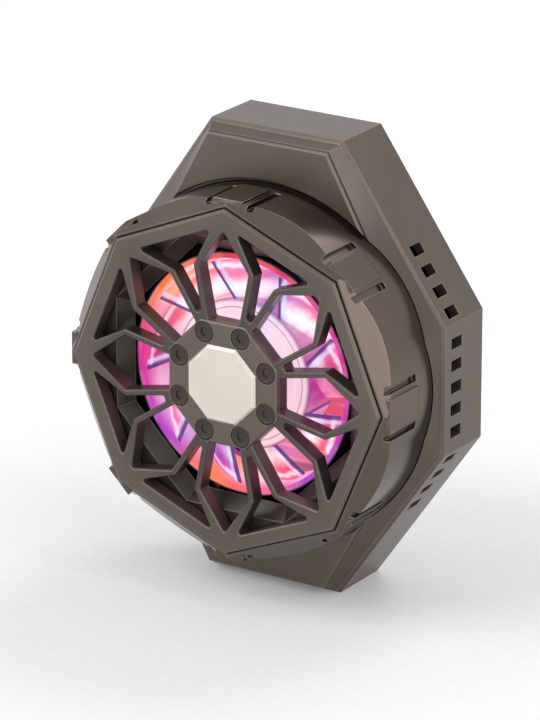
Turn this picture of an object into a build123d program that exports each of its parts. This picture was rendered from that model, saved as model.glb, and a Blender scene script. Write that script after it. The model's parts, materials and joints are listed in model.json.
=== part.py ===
from build123d import *
from math import cos, hypot, radians, sin, sqrt, tan
import os

os.makedirs("parts", exist_ok=True)

# Magnetic phone cooling fan, in millimetres.
# It stands on its lower end as in use on an upright phone: X to the right, the front faces -Y, +Z up.
# The phone touches the +Y side. A depth is measured from that face towards the front.

# Body outline, seen from the front
side_land = 1.6
wing_reach = 8.1
end_width = 23.9
side_height = 20.9
wall = 1.6
sides = 8
side_angle = 360 / sides
half_side_angle = side_angle / 2

# Clearances
fit = 0.1
slide_fit = 0.02
running_fit = 0.04
seat_gap = 0.05
overrun = 1.0

# Shaft, bearing and fan frame
shaft_radius = 1.0
shaft_bevel = 0.15
bush_wall = 0.94
bush_lift = 0.25
tube_wall = 0.6
tube_length = 6.4
tube_floor = 0.4
thrust_pad_thickness = 0.4
clip_thickness = 0.2
clip_inset = 0.2
clip_neck = 0.25
clip_gap = 0.05
frame_thickness = 1.2
frame_hub_radius = 7.0
frame_spoke_width = 2.2
frame_spokes = 4

# Motor
motor_board_thickness = 0.6
motor_board_inset = 0.2
core_lift = 1.7
core_head_gap = 1.7
core_hub_wall = 1.4
arm_length = 3.6
core_poles = 4
pole_width = 2.2
pole_shoe = 1.0
pole_gap = 1.6
coil_hub_gap = 0.6
coil_shoe_gap = 0.3
coil_build = 0.9
coil_corner = 0.6
magnet_gap = 0.4
rotor_magnet_wall = 1.45
magnet_overhang = 0.3
yoke_wall = 0.6
yoke_head_gap = 0.3
yoke_hole_gap = 0.1

# Impeller
skirt_lift = 1.0
impeller_wall = 1.05
impeller_top = 1.2
impeller_edge = 0.6
edge_taper = 45.0
impeller_boss_radius = 2.4
blade_count = 9
blade_length = 5.93
blade_thickness = 0.8
blade_root_chord = 9.4
blade_tip_chord = 13.4
blade_root_pitch = 40.0
blade_tip_pitch = 30.0
blade_camber = 0.9
blade_sweep = 3.4
blade_root_sink = 0.7
blade_lift = 1.0
tip_gap = 0.5

# Light guide, light board and LEDs
guide_wall = 1.0
guide_flange_inset = 0.3
guide_flange_thickness = 1.0
light_board_gap = 0.2
light_board_width = 3.5
light_board_thickness = 0.8
led_side = 2.0
led_height = 0.75
led_gap = 0.2

# Air deck
deck_gap = 0.15
deck_inset = 1.3
deck_thickness = 2.1
funnel_slope = 46.3

# Drum housing
drum_wall = 1.9
drum_front_gap = 0.6
ledge_thickness = 1.2
facet_land = 0.25
facet_depth = 2.6
facet_slope = 44.4
drum_boss_radius = 1.7
drum_boss_gap = 0.3
drum_screw_angles = (67.5, 112.5, 247.5, 292.5)
notch_width = 1.1
notch_deep = 0.8
notch_angle = 7.6
notch_length = 9.0
lug_stand = 0.35
lug_angle = 5.2
lug_length = 8.0
lug_front_gap = 0.75

# Front grille
grille_thickness = 2.6
grille_inset = 3.0
grille_band = 2.35
grille_bevel = 0.35
web_bevel = 0.2
grille_fit = 0.2
petal_root_half = 2.8
petal_shoulder_half = 4.5
petal_tip_length = 6.3
petal_tip_band = 1.3
petal_corner = 0.4
wedge_stand = 1.95
wedge_root_half = 0.5
wedge_end_half = 1.95
wedge_flare = 4.55
wedge_corner_web = 2.45
slot_corner = 0.35

# Badge, hub plate and their screws
badge_apothem = 6.15
badge_thickness = 1.0
badge_stand = 0.5
badge_bevel = 0.4
hub_plate_thickness = 0.8
hub_plate_stand = 0.3
hub_bevel = 0.25
hub_rim = 1.35
hub_screw_margin = 0.24
hub_screw_head = 1.7
hub_screw_head_height = 0.45
hub_screw_sink = 0.5
hub_screw_radius = 0.7
hub_screw_length = 1.9
hub_screw_socket = 0.8
hub_screw_socket_depth = 0.25

# Contact side: cold plate, silicone ring, magnets and back cover
contact_stand = 0.6
cover_web = 0.6
cover_rim = 1.0
cover_land = 1.3
cold_plate_thickness = 2.2
cold_plate_bevel = 0.3
contact_ring_thickness = 1.0
magnet_width = 4.2
magnet_thickness = 1.5
magnet_count = 18
magnet_gap_angle = 1.0
magnet_yoke_thickness = 0.5
groove_gap = 0.4

# Thermoelectric module, its leads and its gasket
ceramic_thickness = 0.7
pellet_side = 1.8
pellet_height = 2.0
pellet_margin = 1.4
pellet_rows = 8
gasket_gap = 0.3
gasket_wall = 1.7
lead_radius = 0.5
lead_spread = 3.0
lead_drop = 0.6
lead_rise_gap = 0.5
lead_channel = 1.6

# Heatsink
sink_base_thickness = 1.4
sink_side_gap = 1.9
fin_height = 3.3
fin_thickness = 0.7
fin_count = 19
fin_top_gap = 0.2
sink_screw_margin = 2.5
sink_screw_z = 7.0
sink_post_radius = 1.6
screw_clear_radius = 2.0

# Base housing
floor_thickness = 1.5
floor_opening_margin = 1.4
side_rise = 0.5
edge_bevel = 0.45
shoulder_ledge = 0.6
shoulder_rise = 1.9
shoulder_end_inset = 1.3
shoulder_corner_inset = 1.05
shoulder_side_inset = 3.5
shoulder_side_drop = 3.8
pocket_wall = 2.0
pocket_roof = 1.6
case_side_margin = 2.45
case_end_margin = 5.5
case_boss_radius = 2.2
vent_width = 1.8
vent_pitch = 3.6
side_vents = 5
slant_vents = 4
vent_margin = 0.2

# Wing panels
panel_thickness = 0.8
panel_bevel = 0.25
panel_gap = 0.15
panel_peg_radius = 0.9
panel_peg_x = 5.0
panel_peg_margin = 4.4
panel_peg_length = 1.2

# Shared screws
screw_radius = 0.8
screw_head_radius = 1.3
screw_head_height = 0.8
socket_radius = 0.6
key_sides = 6
socket_depth = 0.4
screw_hole_radius = 0.95
case_screw_radius = 0.95
case_screw_head = 1.9
case_screw_length = 7.6
drum_screw_length = 6.5
drum_screw_head = 1.5
drum_screw_head_height = 1.0

# Main board, its components and the socket
board_gap = 0.4
board_thickness = 1.0
board_lift = 0.8
board_sink_gap = 2.0
board_post_x = 5.0
board_post_margin = 3.5
board_post_radius = 1.4
socket_width = 8.94
socket_height = 3.26
socket_length = 7.35
socket_shell = 0.3
socket_round = 1.6
socket_recess = 0.2
tongue_width = 6.69
tongue_thickness = 0.7
tongue_length = 4.45
tongue_base = 1.2
socket_slot_gap = 0.18
socket_pad_width = 11.0
socket_pad_height = 6.0
socket_pad_depth = 0.35
choke_side = 3.6
choke_height = 2.4
choke_x = 8.6
choke_margin = 2.5
chip_width = 4.4
chip_length = 3.4
chip_height = 0.9
chip_margin = 2.1
part_width = 1.6
part_length = 0.8
part_height = 0.5
part_x = 4.4
part_margin = 4.9

# Radii worked out from the shaft outwards
bush_radius = shaft_radius + running_fit + bush_wall
tube_bore = bush_radius + slide_fit
tube_radius = tube_bore + tube_wall
thrust_pad_radius = tube_bore - fit
clip_radius = tube_bore - clip_inset
core_hub_radius = tube_radius + core_hub_wall
pole_radius = core_hub_radius + arm_length
core_radius = pole_radius + pole_shoe
coil_inner = core_hub_radius + coil_hub_gap
coil_outer = pole_radius - coil_shoe_gap
motor_board_radius = core_radius - motor_board_inset
magnet_rotor_inner = core_radius + magnet_gap
magnet_rotor_outer = magnet_rotor_inner + rotor_magnet_wall
yoke_inner = magnet_rotor_outer + slide_fit
yoke_outer = yoke_inner + yoke_wall
cup_inner = yoke_outer + seat_gap
cup_outer = cup_inner + impeller_wall
tip_radius = cup_outer + blade_length
duct_radius = tip_radius + tip_gap
guide_radius = duct_radius + guide_wall
floor_opening_radius = duct_radius + floor_opening_margin
light_board_inner = guide_radius + light_board_gap
light_board_outer = light_board_inner + light_board_width
led_circle_radius = (light_board_inner + light_board_outer) / 2
guide_flange_radius = light_board_outer - guide_flange_inset
flange_radius = light_board_outer + fit
drum_boss_circle_radius = flange_radius + drum_boss_gap + drum_boss_radius
drum_bore_radius = drum_boss_circle_radius + drum_boss_radius - fit
drum_radius = drum_bore_radius + drum_wall
drum_seat_radius = drum_radius + fit
ledge_radius = flange_radius + fit
funnel_low_apothem = guide_radius + light_board_gap
grille_apothem = drum_radius - grille_inset
deck_apothem = grille_apothem - deck_inset
body_width = 2 * (drum_radius + side_land)
body_height = 2 * (drum_radius + wing_reach)

# Grille, hub plate and badge
hub_screw_circle_radius = badge_apothem / cos(radians(half_side_angle)) + hub_screw_margin + hub_screw_head
hub_apothem = hub_screw_circle_radius + hub_rim
petal_tip = grille_apothem - petal_tip_band
petal_shoulder = petal_tip - petal_tip_length
wedge_root = hub_apothem + wedge_stand
slot_end = grille_apothem - grille_band
wedge_end = slot_end - wedge_flare
slot_end_half = slot_end * tan(radians(half_side_angle)) - wedge_corner_web

# Radii of the contact side, worked out from the body inwards
groove_outer_radius = body_width / 2 - wall - fit - cover_rim
magnet_outer_radius = groove_outer_radius - groove_gap
magnet_inner_radius = magnet_outer_radius - magnet_width
groove_inner_radius = magnet_inner_radius - groove_gap
cold_plate_radius = groove_inner_radius - cover_land
gasket_hole_side = (cold_plate_radius - gasket_gap - gasket_wall) * sqrt(2)
module_side = gasket_hole_side - 2 * gasket_gap
pellet_pitch = (module_side - 2 * pellet_margin - pellet_side) / (pellet_rows - 1)
sink_radius = body_width / 2 - wall - sink_side_gap
sink_height = 2 * cold_plate_radius
fin_pitch = sink_height / (fin_count + 1)
sink_screw_x = sink_radius - sink_screw_margin

# Depths worked out from the phone face to the front
cover_back = contact_stand
magnet_back = contact_ring_thickness
magnet_front = magnet_back + magnet_thickness
groove_floor = magnet_front + magnet_yoke_thickness
cover_front = groove_floor + cover_web
cover_thickness = cover_front - cover_back
cold_face = cold_plate_thickness
pellet_back = cold_face + ceramic_thickness
pellet_front = pellet_back + pellet_height
sink_back = pellet_front + ceramic_thickness
sink_face = sink_back + sink_base_thickness
sink_screw_length = sink_face - groove_floor - 2 * fit
fin_front = sink_face + fin_height
floor_back = fin_front + fin_top_gap
seat = floor_back + floor_thickness
side_front = seat + side_rise
shoulder_front = side_front + shoulder_rise
pocket_front = shoulder_front - pocket_roof
frame_front = seat + frame_thickness
board_front = frame_front + light_board_thickness
fan_screw_length = board_front - floor_back - fit
tube_front = frame_front + tube_length
core_back = frame_front + core_lift
core_height = tube_length - core_lift - core_head_gap
rotor_top_back = tube_front + yoke_head_gap
impeller_back = frame_front + skirt_lift
yoke_head_front = rotor_top_back + yoke_wall
cup_head_back = yoke_head_front + seat_gap
cup_front = cup_head_back + impeller_top
deck_back = cup_front + deck_gap
ledge_back = deck_back - ledge_thickness
deck_front = deck_back + deck_thickness
grille_back = deck_front + drum_front_gap
grille_front = grille_back + grille_thickness
drum_front = grille_front - drum_front_gap
hub_front = grille_front + hub_plate_stand
hub_plate_back = hub_front - hub_plate_thickness
total_depth = hub_front + badge_stand
phone_face_y = total_depth / 2
hub_height = body_height / 2

# Lower wing: the main board and the socket
pcb_back = cover_front + board_lift
pcb_front = pcb_back + board_thickness
socket_centre = pcb_front + socket_height / 2
board_edge = sink_height / 2 + board_sink_gap
board_post_z = board_edge + board_post_margin
choke_z = board_edge + choke_margin
chip_z = board_edge + chip_margin
part_z = board_edge + part_margin
case_screw_x = end_width / 2 - case_side_margin
case_screw_z = body_height / 2 - case_end_margin
panel_peg_z = body_height / 2 - panel_peg_margin


# Frames and outlines

def front(depth):
    """Sketch plane at a depth from the phone face, seen from the front, centred on the hub."""
    return Plane(origin=(0, phone_face_y - depth, hub_height), x_dir=(1, 0, 0), z_dir=(0, -1, 0))


def rear(depth):
    """Plane at a depth that faces the phone, centred on the hub, for holes drilled from the back."""
    return Plane(origin=(0, phone_face_y - depth, hub_height), x_dir=(-1, 0, 0), z_dir=(0, 1, 0))


def mirrored(corners):
    """The whole outline of a shape from the corners of its upper right quarter, top first."""
    right = corners + [(x, -z) for x, z in reversed(corners)]
    return right + [(-x, z) for x, z in reversed(right)]


slant_run = (body_width - end_width) / 2
slant_rise = (body_height - side_height) / 2
slant_length = hypot(slant_run, slant_rise)
slant_x = slant_rise / slant_length
slant_z = slant_run / slant_length


def long_octagon(half_width, half_height, half_end, half_side, inset):
    """Corners of a long octagon, moved inwards by the same distance on every side."""
    run = half_width - half_end
    rise = half_height - half_side
    slant = hypot(run, rise)
    reach = (rise * half_width + run * half_side) / slant - inset
    end_corner = (reach * slant - run * (half_height - inset)) / rise
    side_corner = (reach * slant - rise * (half_width - inset)) / run
    return mirrored([(end_corner, half_height - inset), (half_width - inset, side_corner)])


def body_corners(inset):
    """Corners of the body outline, moved inwards on every side."""
    return long_octagon(body_width / 2, body_height / 2, end_width / 2, side_height / 2, inset)


def shoulder_corners(inset):
    """Corners of the raised face that carries the wing panels, moved inwards on every side."""
    half_end = end_width / 2 - shoulder_corner_inset
    half_side = side_height / 2 - shoulder_side_drop
    half_height = body_height / 2 - shoulder_end_inset
    return long_octagon(body_width / 2 - shoulder_side_inset, half_height, half_end, half_side, inset)


def around(radius, angles):
    """Places on a circle round the hub."""
    return [(radius * cos(radians(a)), radius * sin(radians(a))) for a in angles]


def corners_of(x, z):
    """The four places at plus and minus x and z."""
    return [(x, z), (-x, z), (-x, -z), (x, -z)]


quarter_angles = (0, 90, 180, 270)
case_places = corners_of(case_screw_x, case_screw_z)
sink_places = corners_of(sink_screw_x, sink_screw_z)
drum_places = around(drum_boss_circle_radius, drum_screw_angles)
fan_places = around(led_circle_radius, quarter_angles)


def discs(depth, places, radius, length, mode=Mode.ADD):
    """Round bosses or holes of one size, from a depth towards the front."""
    with BuildSketch(front(depth)) as rounds:
        with Locations(*places):
            Circle(radius)
    extrude(rounds.sketch, amount=length, mode=mode)


def ring(depth, outer, inner, length, mode=Mode.ADD):
    """A plain ring round the hub axis, from a depth towards the front."""
    with BuildSketch(front(depth)) as band:
        Circle(outer)
        Circle(inner, mode=Mode.SUBTRACT)
    extrude(band.sketch, amount=length, mode=mode)


def recess(depth, places, radius, sink):
    """Six-sided key recesses cut backwards from a depth."""
    with BuildSketch(front(depth)) as keys:
        with Locations(*places):
            RegularPolygon(radius, key_sides)
    extrude(keys.sketch, amount=-sink, mode=Mode.SUBTRACT)


def pan_screws(places, head_back, head_radius, head_height, length):
    """Pan head screws driven from the front, with a six-sided recess."""
    discs(head_back, places, head_radius, head_height)
    discs(head_back - length, places, screw_radius, length)
    recess(head_back + head_height, places, socket_radius, socket_depth)


# Base housing: long octagon shell with raised shoulders, a round seat for the drum and a floor under it
with BuildPart() as base_housing:
    with BuildSketch(front(cover_back)):
        Polygon(*body_corners(0), align=None)
    extrude(amount=side_front - cover_back)
    chamfer(base_housing.faces().sort_by(Axis.Y)[0].edges(), edge_bevel)
    chamfer(base_housing.faces().sort_by(Axis.Y)[-1].edges(), edge_bevel)
    with BuildSketch(front(side_front)):
        Polygon(*body_corners(shoulder_ledge), align=None)
    with BuildSketch(front(shoulder_front)):
        Polygon(*shoulder_corners(0), align=None)
    loft(ruled=True)
    with BuildSketch(front(cover_back)):
        Polygon(*body_corners(wall), align=None)
    extrude(amount=floor_back - cover_back, mode=Mode.SUBTRACT)
    with BuildSketch(front(floor_back)):
        Polygon(*body_corners(pocket_wall), align=None)
        Circle(drum_seat_radius + wall, mode=Mode.SUBTRACT)
    extrude(amount=pocket_front - floor_back, mode=Mode.SUBTRACT)
    discs(cover_front, case_places, case_boss_radius, pocket_front - cover_front)
    discs(cover_front, case_places, case_screw_radius + slide_fit, case_screw_length, mode=Mode.SUBTRACT)
    discs(seat, [(0, 0)], drum_seat_radius, shoulder_front, mode=Mode.SUBTRACT)
    discs(floor_back, [(0, 0)], floor_opening_radius, floor_thickness, mode=Mode.SUBTRACT)
    discs(floor_back, drum_places, screw_hole_radius, floor_thickness, mode=Mode.SUBTRACT)
    discs(floor_back, fan_places, screw_radius + slide_fit, floor_thickness, mode=Mode.SUBTRACT)
    peg_places = corners_of(panel_peg_x, panel_peg_z)
    discs(pocket_front, peg_places, panel_peg_radius + fit, pocket_roof, mode=Mode.SUBTRACT)
    # Exhaust slots through the upright and slanted walls, level with the fins
    vent_low = sink_face + vent_margin
    vent_high = floor_back - vent_margin
    vent_middle = (vent_low + vent_high) / 2
    for right in (1, -1):
        upright = Plane(
            origin=(right * body_width / 2, phone_face_y - vent_middle, hub_height),
            x_dir=(0, 0, 1),
            z_dir=(right, 0, 0),
        )
        with BuildSketch(upright):
            with GridLocations(vent_pitch, 0, side_vents, 1):
                Rectangle(vent_width, vent_high - vent_low)
        extrude(amount=-wall - fit, mode=Mode.SUBTRACT)
        for up in (1, -1):
            middle_x = (body_width + end_width) / 4
            middle_z = (body_height + side_height) / 4
            slanted = Plane(
                origin=(right * middle_x, phone_face_y - vent_middle, hub_height + up * middle_z),
                x_dir=(right * slant_z, 0, -up * slant_x),
                z_dir=(right * slant_x, 0, up * slant_z),
            )
            first = slant_length / 2 - vent_pitch * slant_vents / 2
            with BuildSketch(slanted):
                with Locations((first, 0)):
                    with GridLocations(vent_pitch, 0, slant_vents, 1):
                        Rectangle(vent_width, vent_high - vent_low)
            extrude(amount=-wall - fit, mode=Mode.SUBTRACT)
    # Slot and shallow pad for the socket, through the middle of the lower end
    socket_plane = Plane(origin=(0, phone_face_y - socket_centre, 0), x_dir=(1, 0, 0), z_dir=(0, 0, -1))
    with BuildSketch(socket_plane):
        Rectangle(socket_pad_width, socket_pad_height)
    extrude(amount=-socket_pad_depth, mode=Mode.SUBTRACT)
    with BuildSketch(socket_plane):
        RectangleRounded(
            socket_width + 2 * socket_slot_gap,
            socket_height + 2 * socket_slot_gap,
            socket_round + socket_slot_gap,
        )
    extrude(amount=-wall - fit, mode=Mode.SUBTRACT)
base_housing.part.label = "base_housing"
export_step(base_housing.part, "parts/base_housing.step")


# Back cover: closes the shell from behind, holds the magnet ring in a groove
with BuildPart() as back_cover:
    with BuildSketch(front(cover_back)):
        Polygon(*body_corners(wall + fit), align=None)
        Circle(cold_plate_radius + fit, mode=Mode.SUBTRACT)
    extrude(amount=cover_thickness)
    ring(cover_back, groove_outer_radius, groove_inner_radius, groove_floor - cover_back, mode=Mode.SUBTRACT)
    discs(cover_front, sink_places, sink_post_radius, sink_back - cover_front)
    discs(groove_floor, sink_places, screw_radius + slide_fit, sink_back - groove_floor, mode=Mode.SUBTRACT)
    board_posts = [(board_post_x, -board_post_z), (-board_post_x, -board_post_z)]
    discs(cover_front, board_posts, board_post_radius, board_lift)
    with Locations(rear(cover_back)):
        with Locations(*case_places):
            CounterSinkHole(case_screw_radius + fit, case_screw_head + fit, cover_thickness)
back_cover.part.label = "back_cover"
export_step(back_cover.part, "parts/back_cover.step")


# Wing panels: thin trapezoid covers on the two raised ends, with an arc along the drum
def wing_panel(up):
    """One wing panel with its two pegs; up is 1 for the upper end and -1 for the lower one."""
    with BuildPart() as panel:
        with BuildSketch(front(shoulder_front)):
            Polygon(*shoulder_corners(panel_gap), align=None)
            Circle(drum_radius + edge_bevel, mode=Mode.SUBTRACT)
            with Locations((0, up * body_height / 2)):
                Rectangle(body_width, body_height - side_height, mode=Mode.INTERSECT)
        extrude(amount=panel_thickness)
        chamfer(panel.faces().sort_by(Axis.Y)[0].edges(), panel_bevel)
        pegs = [(panel_peg_x, up * panel_peg_z), (-panel_peg_x, up * panel_peg_z)]
        discs(shoulder_front - panel_peg_length, pegs, panel_peg_radius, panel_peg_length)
    return panel.part


wing_panel_top = wing_panel(1)
wing_panel_top.label = "wing_panel_top"
export_step(wing_panel_top, "parts/wing_panel_top.step")
wing_panel_bottom = wing_panel(-1)
wing_panel_bottom.label = "wing_panel_bottom"
export_step(wing_panel_bottom, "parts/wing_panel_bottom.step")


# Drum housing: round turret with eight sloping facets, eight lugs, notches and two eight-sided pockets
facet_apothem = grille_apothem + grille_fit + facet_land
with BuildPart() as drum_housing:
    with BuildSketch(front(drum_front)):
        RegularPolygon(facet_apothem, sides, major_radius=False)
    extrude(amount=-facet_depth - ledge_thickness, taper=-facet_slope)
    discs(drum_front - facet_depth - ledge_thickness, [(0, 0)], drum_radius, drum_front, mode=Mode.INTERSECT)
    discs(seat, [(0, 0)], drum_radius, drum_front - facet_depth - ledge_thickness - seat)
    for side in range(sides):
        angle = side * side_angle
        lug_half = drum_radius * tan(radians(lug_angle))
        with BuildSketch(front(drum_front - lug_front_gap - lug_length)):
            with Locations(Location((0, 0), angle)):
                with Locations((drum_radius + lug_stand - notch_deep / 2, 0)):
                    Rectangle(notch_deep, 2 * lug_half)
        extrude(amount=lug_length)
    with BuildSketch(front(drum_front - notch_length)):
        for turn in (notch_angle, -notch_angle):
            with PolarLocations(drum_radius, sides, start_angle=turn):
                Rectangle(2 * notch_deep, notch_width)
    extrude(amount=notch_length, mode=Mode.SUBTRACT)
    discs(seat, [(0, 0)], drum_bore_radius, ledge_back - seat, mode=Mode.SUBTRACT)
    discs(seat, drum_places, drum_boss_radius, ledge_back - seat)
    discs(ledge_back, [(0, 0)], ledge_radius, ledge_thickness, mode=Mode.SUBTRACT)
    with BuildSketch(front(deck_back)):
        RegularPolygon(deck_apothem + grille_fit, sides, major_radius=False)
    extrude(amount=drum_front, mode=Mode.SUBTRACT)
    with BuildSketch(front(grille_back)):
        RegularPolygon(grille_apothem + grille_fit, sides, major_radius=False)
    extrude(amount=drum_front, mode=Mode.SUBTRACT)
    discs(seat, drum_places, screw_radius + slide_fit, drum_screw_length, mode=Mode.SUBTRACT)
drum_housing.part.label = "drum_housing"
export_step(drum_housing.part, "parts/drum_housing.step")


# Front grille: eight-sided web with eight petal windows, eight wedge slots and a lowered hub
with BuildPart() as front_grille:
    with BuildSketch(front(grille_back)):
        RegularPolygon(grille_apothem, sides, major_radius=False)
    extrude(amount=grille_thickness)
    chamfer(front_grille.faces().sort_by(Axis.Y)[0].edges(), grille_bevel)
    with BuildSketch(front(grille_back)) as petals:
        with PolarLocations(0, sides):
            Polygon(
                (hub_apothem, -petal_root_half),
                (petal_shoulder, -petal_shoulder_half),
                (petal_tip, 0),
                (petal_shoulder, petal_shoulder_half),
                (hub_apothem, petal_root_half),
                align=None,
            )
        fillet(petals.vertices(), petal_corner)
    extrude(amount=grille_thickness, mode=Mode.SUBTRACT)
    with BuildSketch(front(grille_back)) as slots:
        with PolarLocations(0, sides, start_angle=half_side_angle):
            Polygon(
                (wedge_root, -wedge_root_half),
                (wedge_end, -wedge_end_half),
                (slot_end, -slot_end_half),
                (slot_end, slot_end_half),
                (wedge_end, wedge_end_half),
                (wedge_root, wedge_root_half),
                align=None,
            )
        fillet(slots.vertices(), slot_corner)
    extrude(amount=grille_thickness, mode=Mode.SUBTRACT)
    window_edges = front_grille.faces().sort_by(Axis.Y)[0].inner_wires().edges()
    chamfer(window_edges, web_bevel)
    with BuildSketch(front(hub_plate_back)):
        RegularPolygon(hub_apothem, sides, major_radius=False, rotation=half_side_angle)
    extrude(amount=hub_plate_thickness, mode=Mode.SUBTRACT)
    hub_screw_angles = [half_side_angle + side * side_angle for side in range(sides)]
    hub_screw_places = around(hub_screw_circle_radius, hub_screw_angles)
    discs(
        hub_plate_back - hub_screw_length,
        hub_screw_places,
        hub_screw_radius + slide_fit,
        hub_screw_length,
        mode=Mode.SUBTRACT,
    )
front_grille.part.label = "front_grille"
export_step(front_grille.part, "parts/front_grille.step")


# Hub plate: eight-sided cap over the grille's hub, with counterbored holes and a pocket for the badge
badge_back = total_depth - badge_thickness
hub_screw_seat = hub_front - hub_screw_sink
with BuildPart() as hub_plate:
    with BuildSketch(front(hub_plate_back)):
        RegularPolygon(hub_apothem - seat_gap, sides, major_radius=False, rotation=half_side_angle)
    extrude(amount=hub_plate_thickness)
    chamfer(hub_plate.faces().sort_by(Axis.Y)[0].edges(), hub_bevel)
    with BuildSketch(front(badge_back)):
        RegularPolygon(badge_apothem + seat_gap, sides, major_radius=False, rotation=half_side_angle)
    extrude(amount=badge_thickness, mode=Mode.SUBTRACT)
    shank_clear = hub_screw_radius + seat_gap
    head_clear = hub_screw_head + seat_gap
    discs(hub_plate_back, hub_screw_places, shank_clear, hub_plate_thickness, mode=Mode.SUBTRACT)
    discs(hub_screw_seat, hub_screw_places, head_clear, hub_screw_sink, mode=Mode.SUBTRACT)
hub_plate.part.label = "hub_plate"
export_step(hub_plate.part, "parts/hub_plate.step")


# Hub badge: bare eight-sided metal plate with a bevelled rim
with BuildPart() as hub_badge:
    with BuildSketch(front(badge_back)):
        RegularPolygon(badge_apothem, sides, major_radius=False, rotation=half_side_angle)
    extrude(amount=badge_thickness)
    chamfer(hub_badge.faces().sort_by(Axis.Y)[0].edges(), badge_bevel)
hub_badge.part.label = "hub_badge"
export_step(hub_badge.part, "parts/hub_badge.step")


# Hub screws: eight low heads with a six-sided recess
hub_screw_tip = hub_plate_back - hub_screw_length
with BuildPart() as hub_screws:
    discs(hub_screw_seat, hub_screw_places, hub_screw_head, hub_screw_head_height)
    discs(hub_screw_tip, hub_screw_places, hub_screw_radius, hub_screw_seat - hub_screw_tip)
    hub_screw_front = hub_screw_seat + hub_screw_head_height
    recess(hub_screw_front, hub_screw_places, hub_screw_socket, hub_screw_socket_depth)
hub_screws.part.label = "hub_screws"
export_step(hub_screws.part, "parts/hub_screws.step")


# Air deck: eight-sided plate under the grille with a funnel that narrows to the duct
with BuildPart() as air_deck:
    with BuildSketch(front(deck_back)):
        RegularPolygon(deck_apothem, sides, major_radius=False)
    extrude(amount=deck_thickness)
    with BuildSketch(front(deck_back)):
        RegularPolygon(funnel_low_apothem, sides, major_radius=False, rotation=half_side_angle)
    extrude(amount=deck_thickness, taper=-funnel_slope, mode=Mode.SUBTRACT)
air_deck.part.label = "air_deck"
export_step(air_deck.part, "parts/air_deck.step")


# Light guide: clear ring round the impeller with a flange over the LEDs
led_front = board_front + led_height
with BuildPart() as light_guide:
    ring(frame_front, guide_radius, duct_radius, deck_back - frame_front)
    ring(led_front + led_gap, guide_flange_radius, duct_radius, guide_flange_thickness)
light_guide.part.label = "light_guide"
export_step(light_guide.part, "parts/light_guide.step")


# Light board: ring circuit board with the LEDs round the duct
with BuildPart() as light_board:
    ring(frame_front, light_board_outer, light_board_inner, light_board_thickness)
    discs(frame_front, fan_places, screw_hole_radius, light_board_thickness, mode=Mode.SUBTRACT)
light_board.part.label = "light_board"
export_step(light_board.part, "parts/light_board.step")

with BuildPart() as leds:
    with BuildSketch(front(board_front)):
        with PolarLocations(led_circle_radius, sides, start_angle=half_side_angle):
            Rectangle(led_side, led_side)
    extrude(amount=led_height)
leds.part.label = "leds"
export_step(leds.part, "parts/leds.step")


# Fan frame: flange, four spokes, motor hub and bearing tube in one moulding
with BuildPart() as fan_frame:
    ring(seat, flange_radius, duct_radius, frame_thickness)
    discs(seat, [(0, 0)], frame_hub_radius, frame_thickness)
    with BuildSketch(front(seat)):
        with PolarLocations((frame_hub_radius + duct_radius) / 2, frame_spokes, start_angle=side_angle):
            Rectangle(duct_radius - frame_hub_radius + 2 * frame_thickness, frame_spoke_width)
    extrude(amount=frame_thickness)
    discs(frame_front, [(0, 0)], tube_radius, tube_length)
    discs(seat + tube_floor, [(0, 0)], tube_bore, tube_front - seat, mode=Mode.SUBTRACT)
    discs(seat, fan_places, screw_hole_radius, frame_thickness, mode=Mode.SUBTRACT)
fan_frame.part.label = "fan_frame"
export_step(fan_frame.part, "parts/fan_frame.step")


# Bearing: thrust pad at the foot of the tube, sleeve bush, shaft and its retaining clip
pad_back = seat + tube_floor
pad_front = pad_back + thrust_pad_thickness
clip_back = pad_front + clip_gap + clip_thickness
clip_front = clip_back + clip_thickness
bush_back = clip_front + bush_lift
with BuildPart() as thrust_pad:
    discs(pad_back, [(0, 0)], thrust_pad_radius, thrust_pad_thickness)
thrust_pad.part.label = "thrust_pad"
export_step(thrust_pad.part, "parts/thrust_pad.step")

with BuildPart() as bearing_bush:
    ring(bush_back, bush_radius, shaft_radius + running_fit, tube_front - fit - bush_back)
bearing_bush.part.label = "bearing_bush"
export_step(bearing_bush.part, "parts/bearing_bush.step")

shaft_front = cup_front - seat_gap
with BuildPart() as shaft:
    discs(pad_front + clip_gap, [(0, 0)], shaft_radius, shaft_front - pad_front - clip_gap)
    chamfer(shaft.faces().sort_by(Axis.Y)[-1].edges(), shaft_bevel)
    neck_length = clip_thickness + 2 * slide_fit
    ring(clip_back - slide_fit, clip_radius, shaft_radius - clip_neck, neck_length, mode=Mode.SUBTRACT)
shaft.part.label = "shaft"
export_step(shaft.part, "parts/shaft.step")

with BuildPart() as shaft_clip:
    ring(clip_back, clip_radius, shaft_radius - clip_neck + slide_fit, clip_thickness)
shaft_clip.part.label = "shaft_clip"
export_step(shaft_clip.part, "parts/shaft_clip.step")


# Motor board: ring board under the stator
with BuildPart() as motor_board:
    ring(frame_front, motor_board_radius, tube_radius + fit, motor_board_thickness)
motor_board.part.label = "motor_board"
export_step(motor_board.part, "parts/motor_board.step")


# Stator: four-pole core on the bearing tube, one coil on each arm
with BuildPart() as stator_core:
    with BuildSketch(front(core_back)):
        Circle(core_radius)
        Circle(pole_radius, mode=Mode.SUBTRACT)
        with PolarLocations(core_radius, core_poles, start_angle=side_angle):
            Rectangle(2 * pole_shoe + coil_build, pole_gap, mode=Mode.SUBTRACT)
        Circle(core_hub_radius)
        with PolarLocations((core_hub_radius + pole_radius) / 2, core_poles):
            Rectangle(pole_radius - core_hub_radius + pole_shoe, pole_width)
        Circle(tube_radius + slide_fit, mode=Mode.SUBTRACT)
    extrude(amount=core_height)
stator_core.part.label = "stator_core"
export_step(stator_core.part, "parts/stator_core.step")

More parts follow.
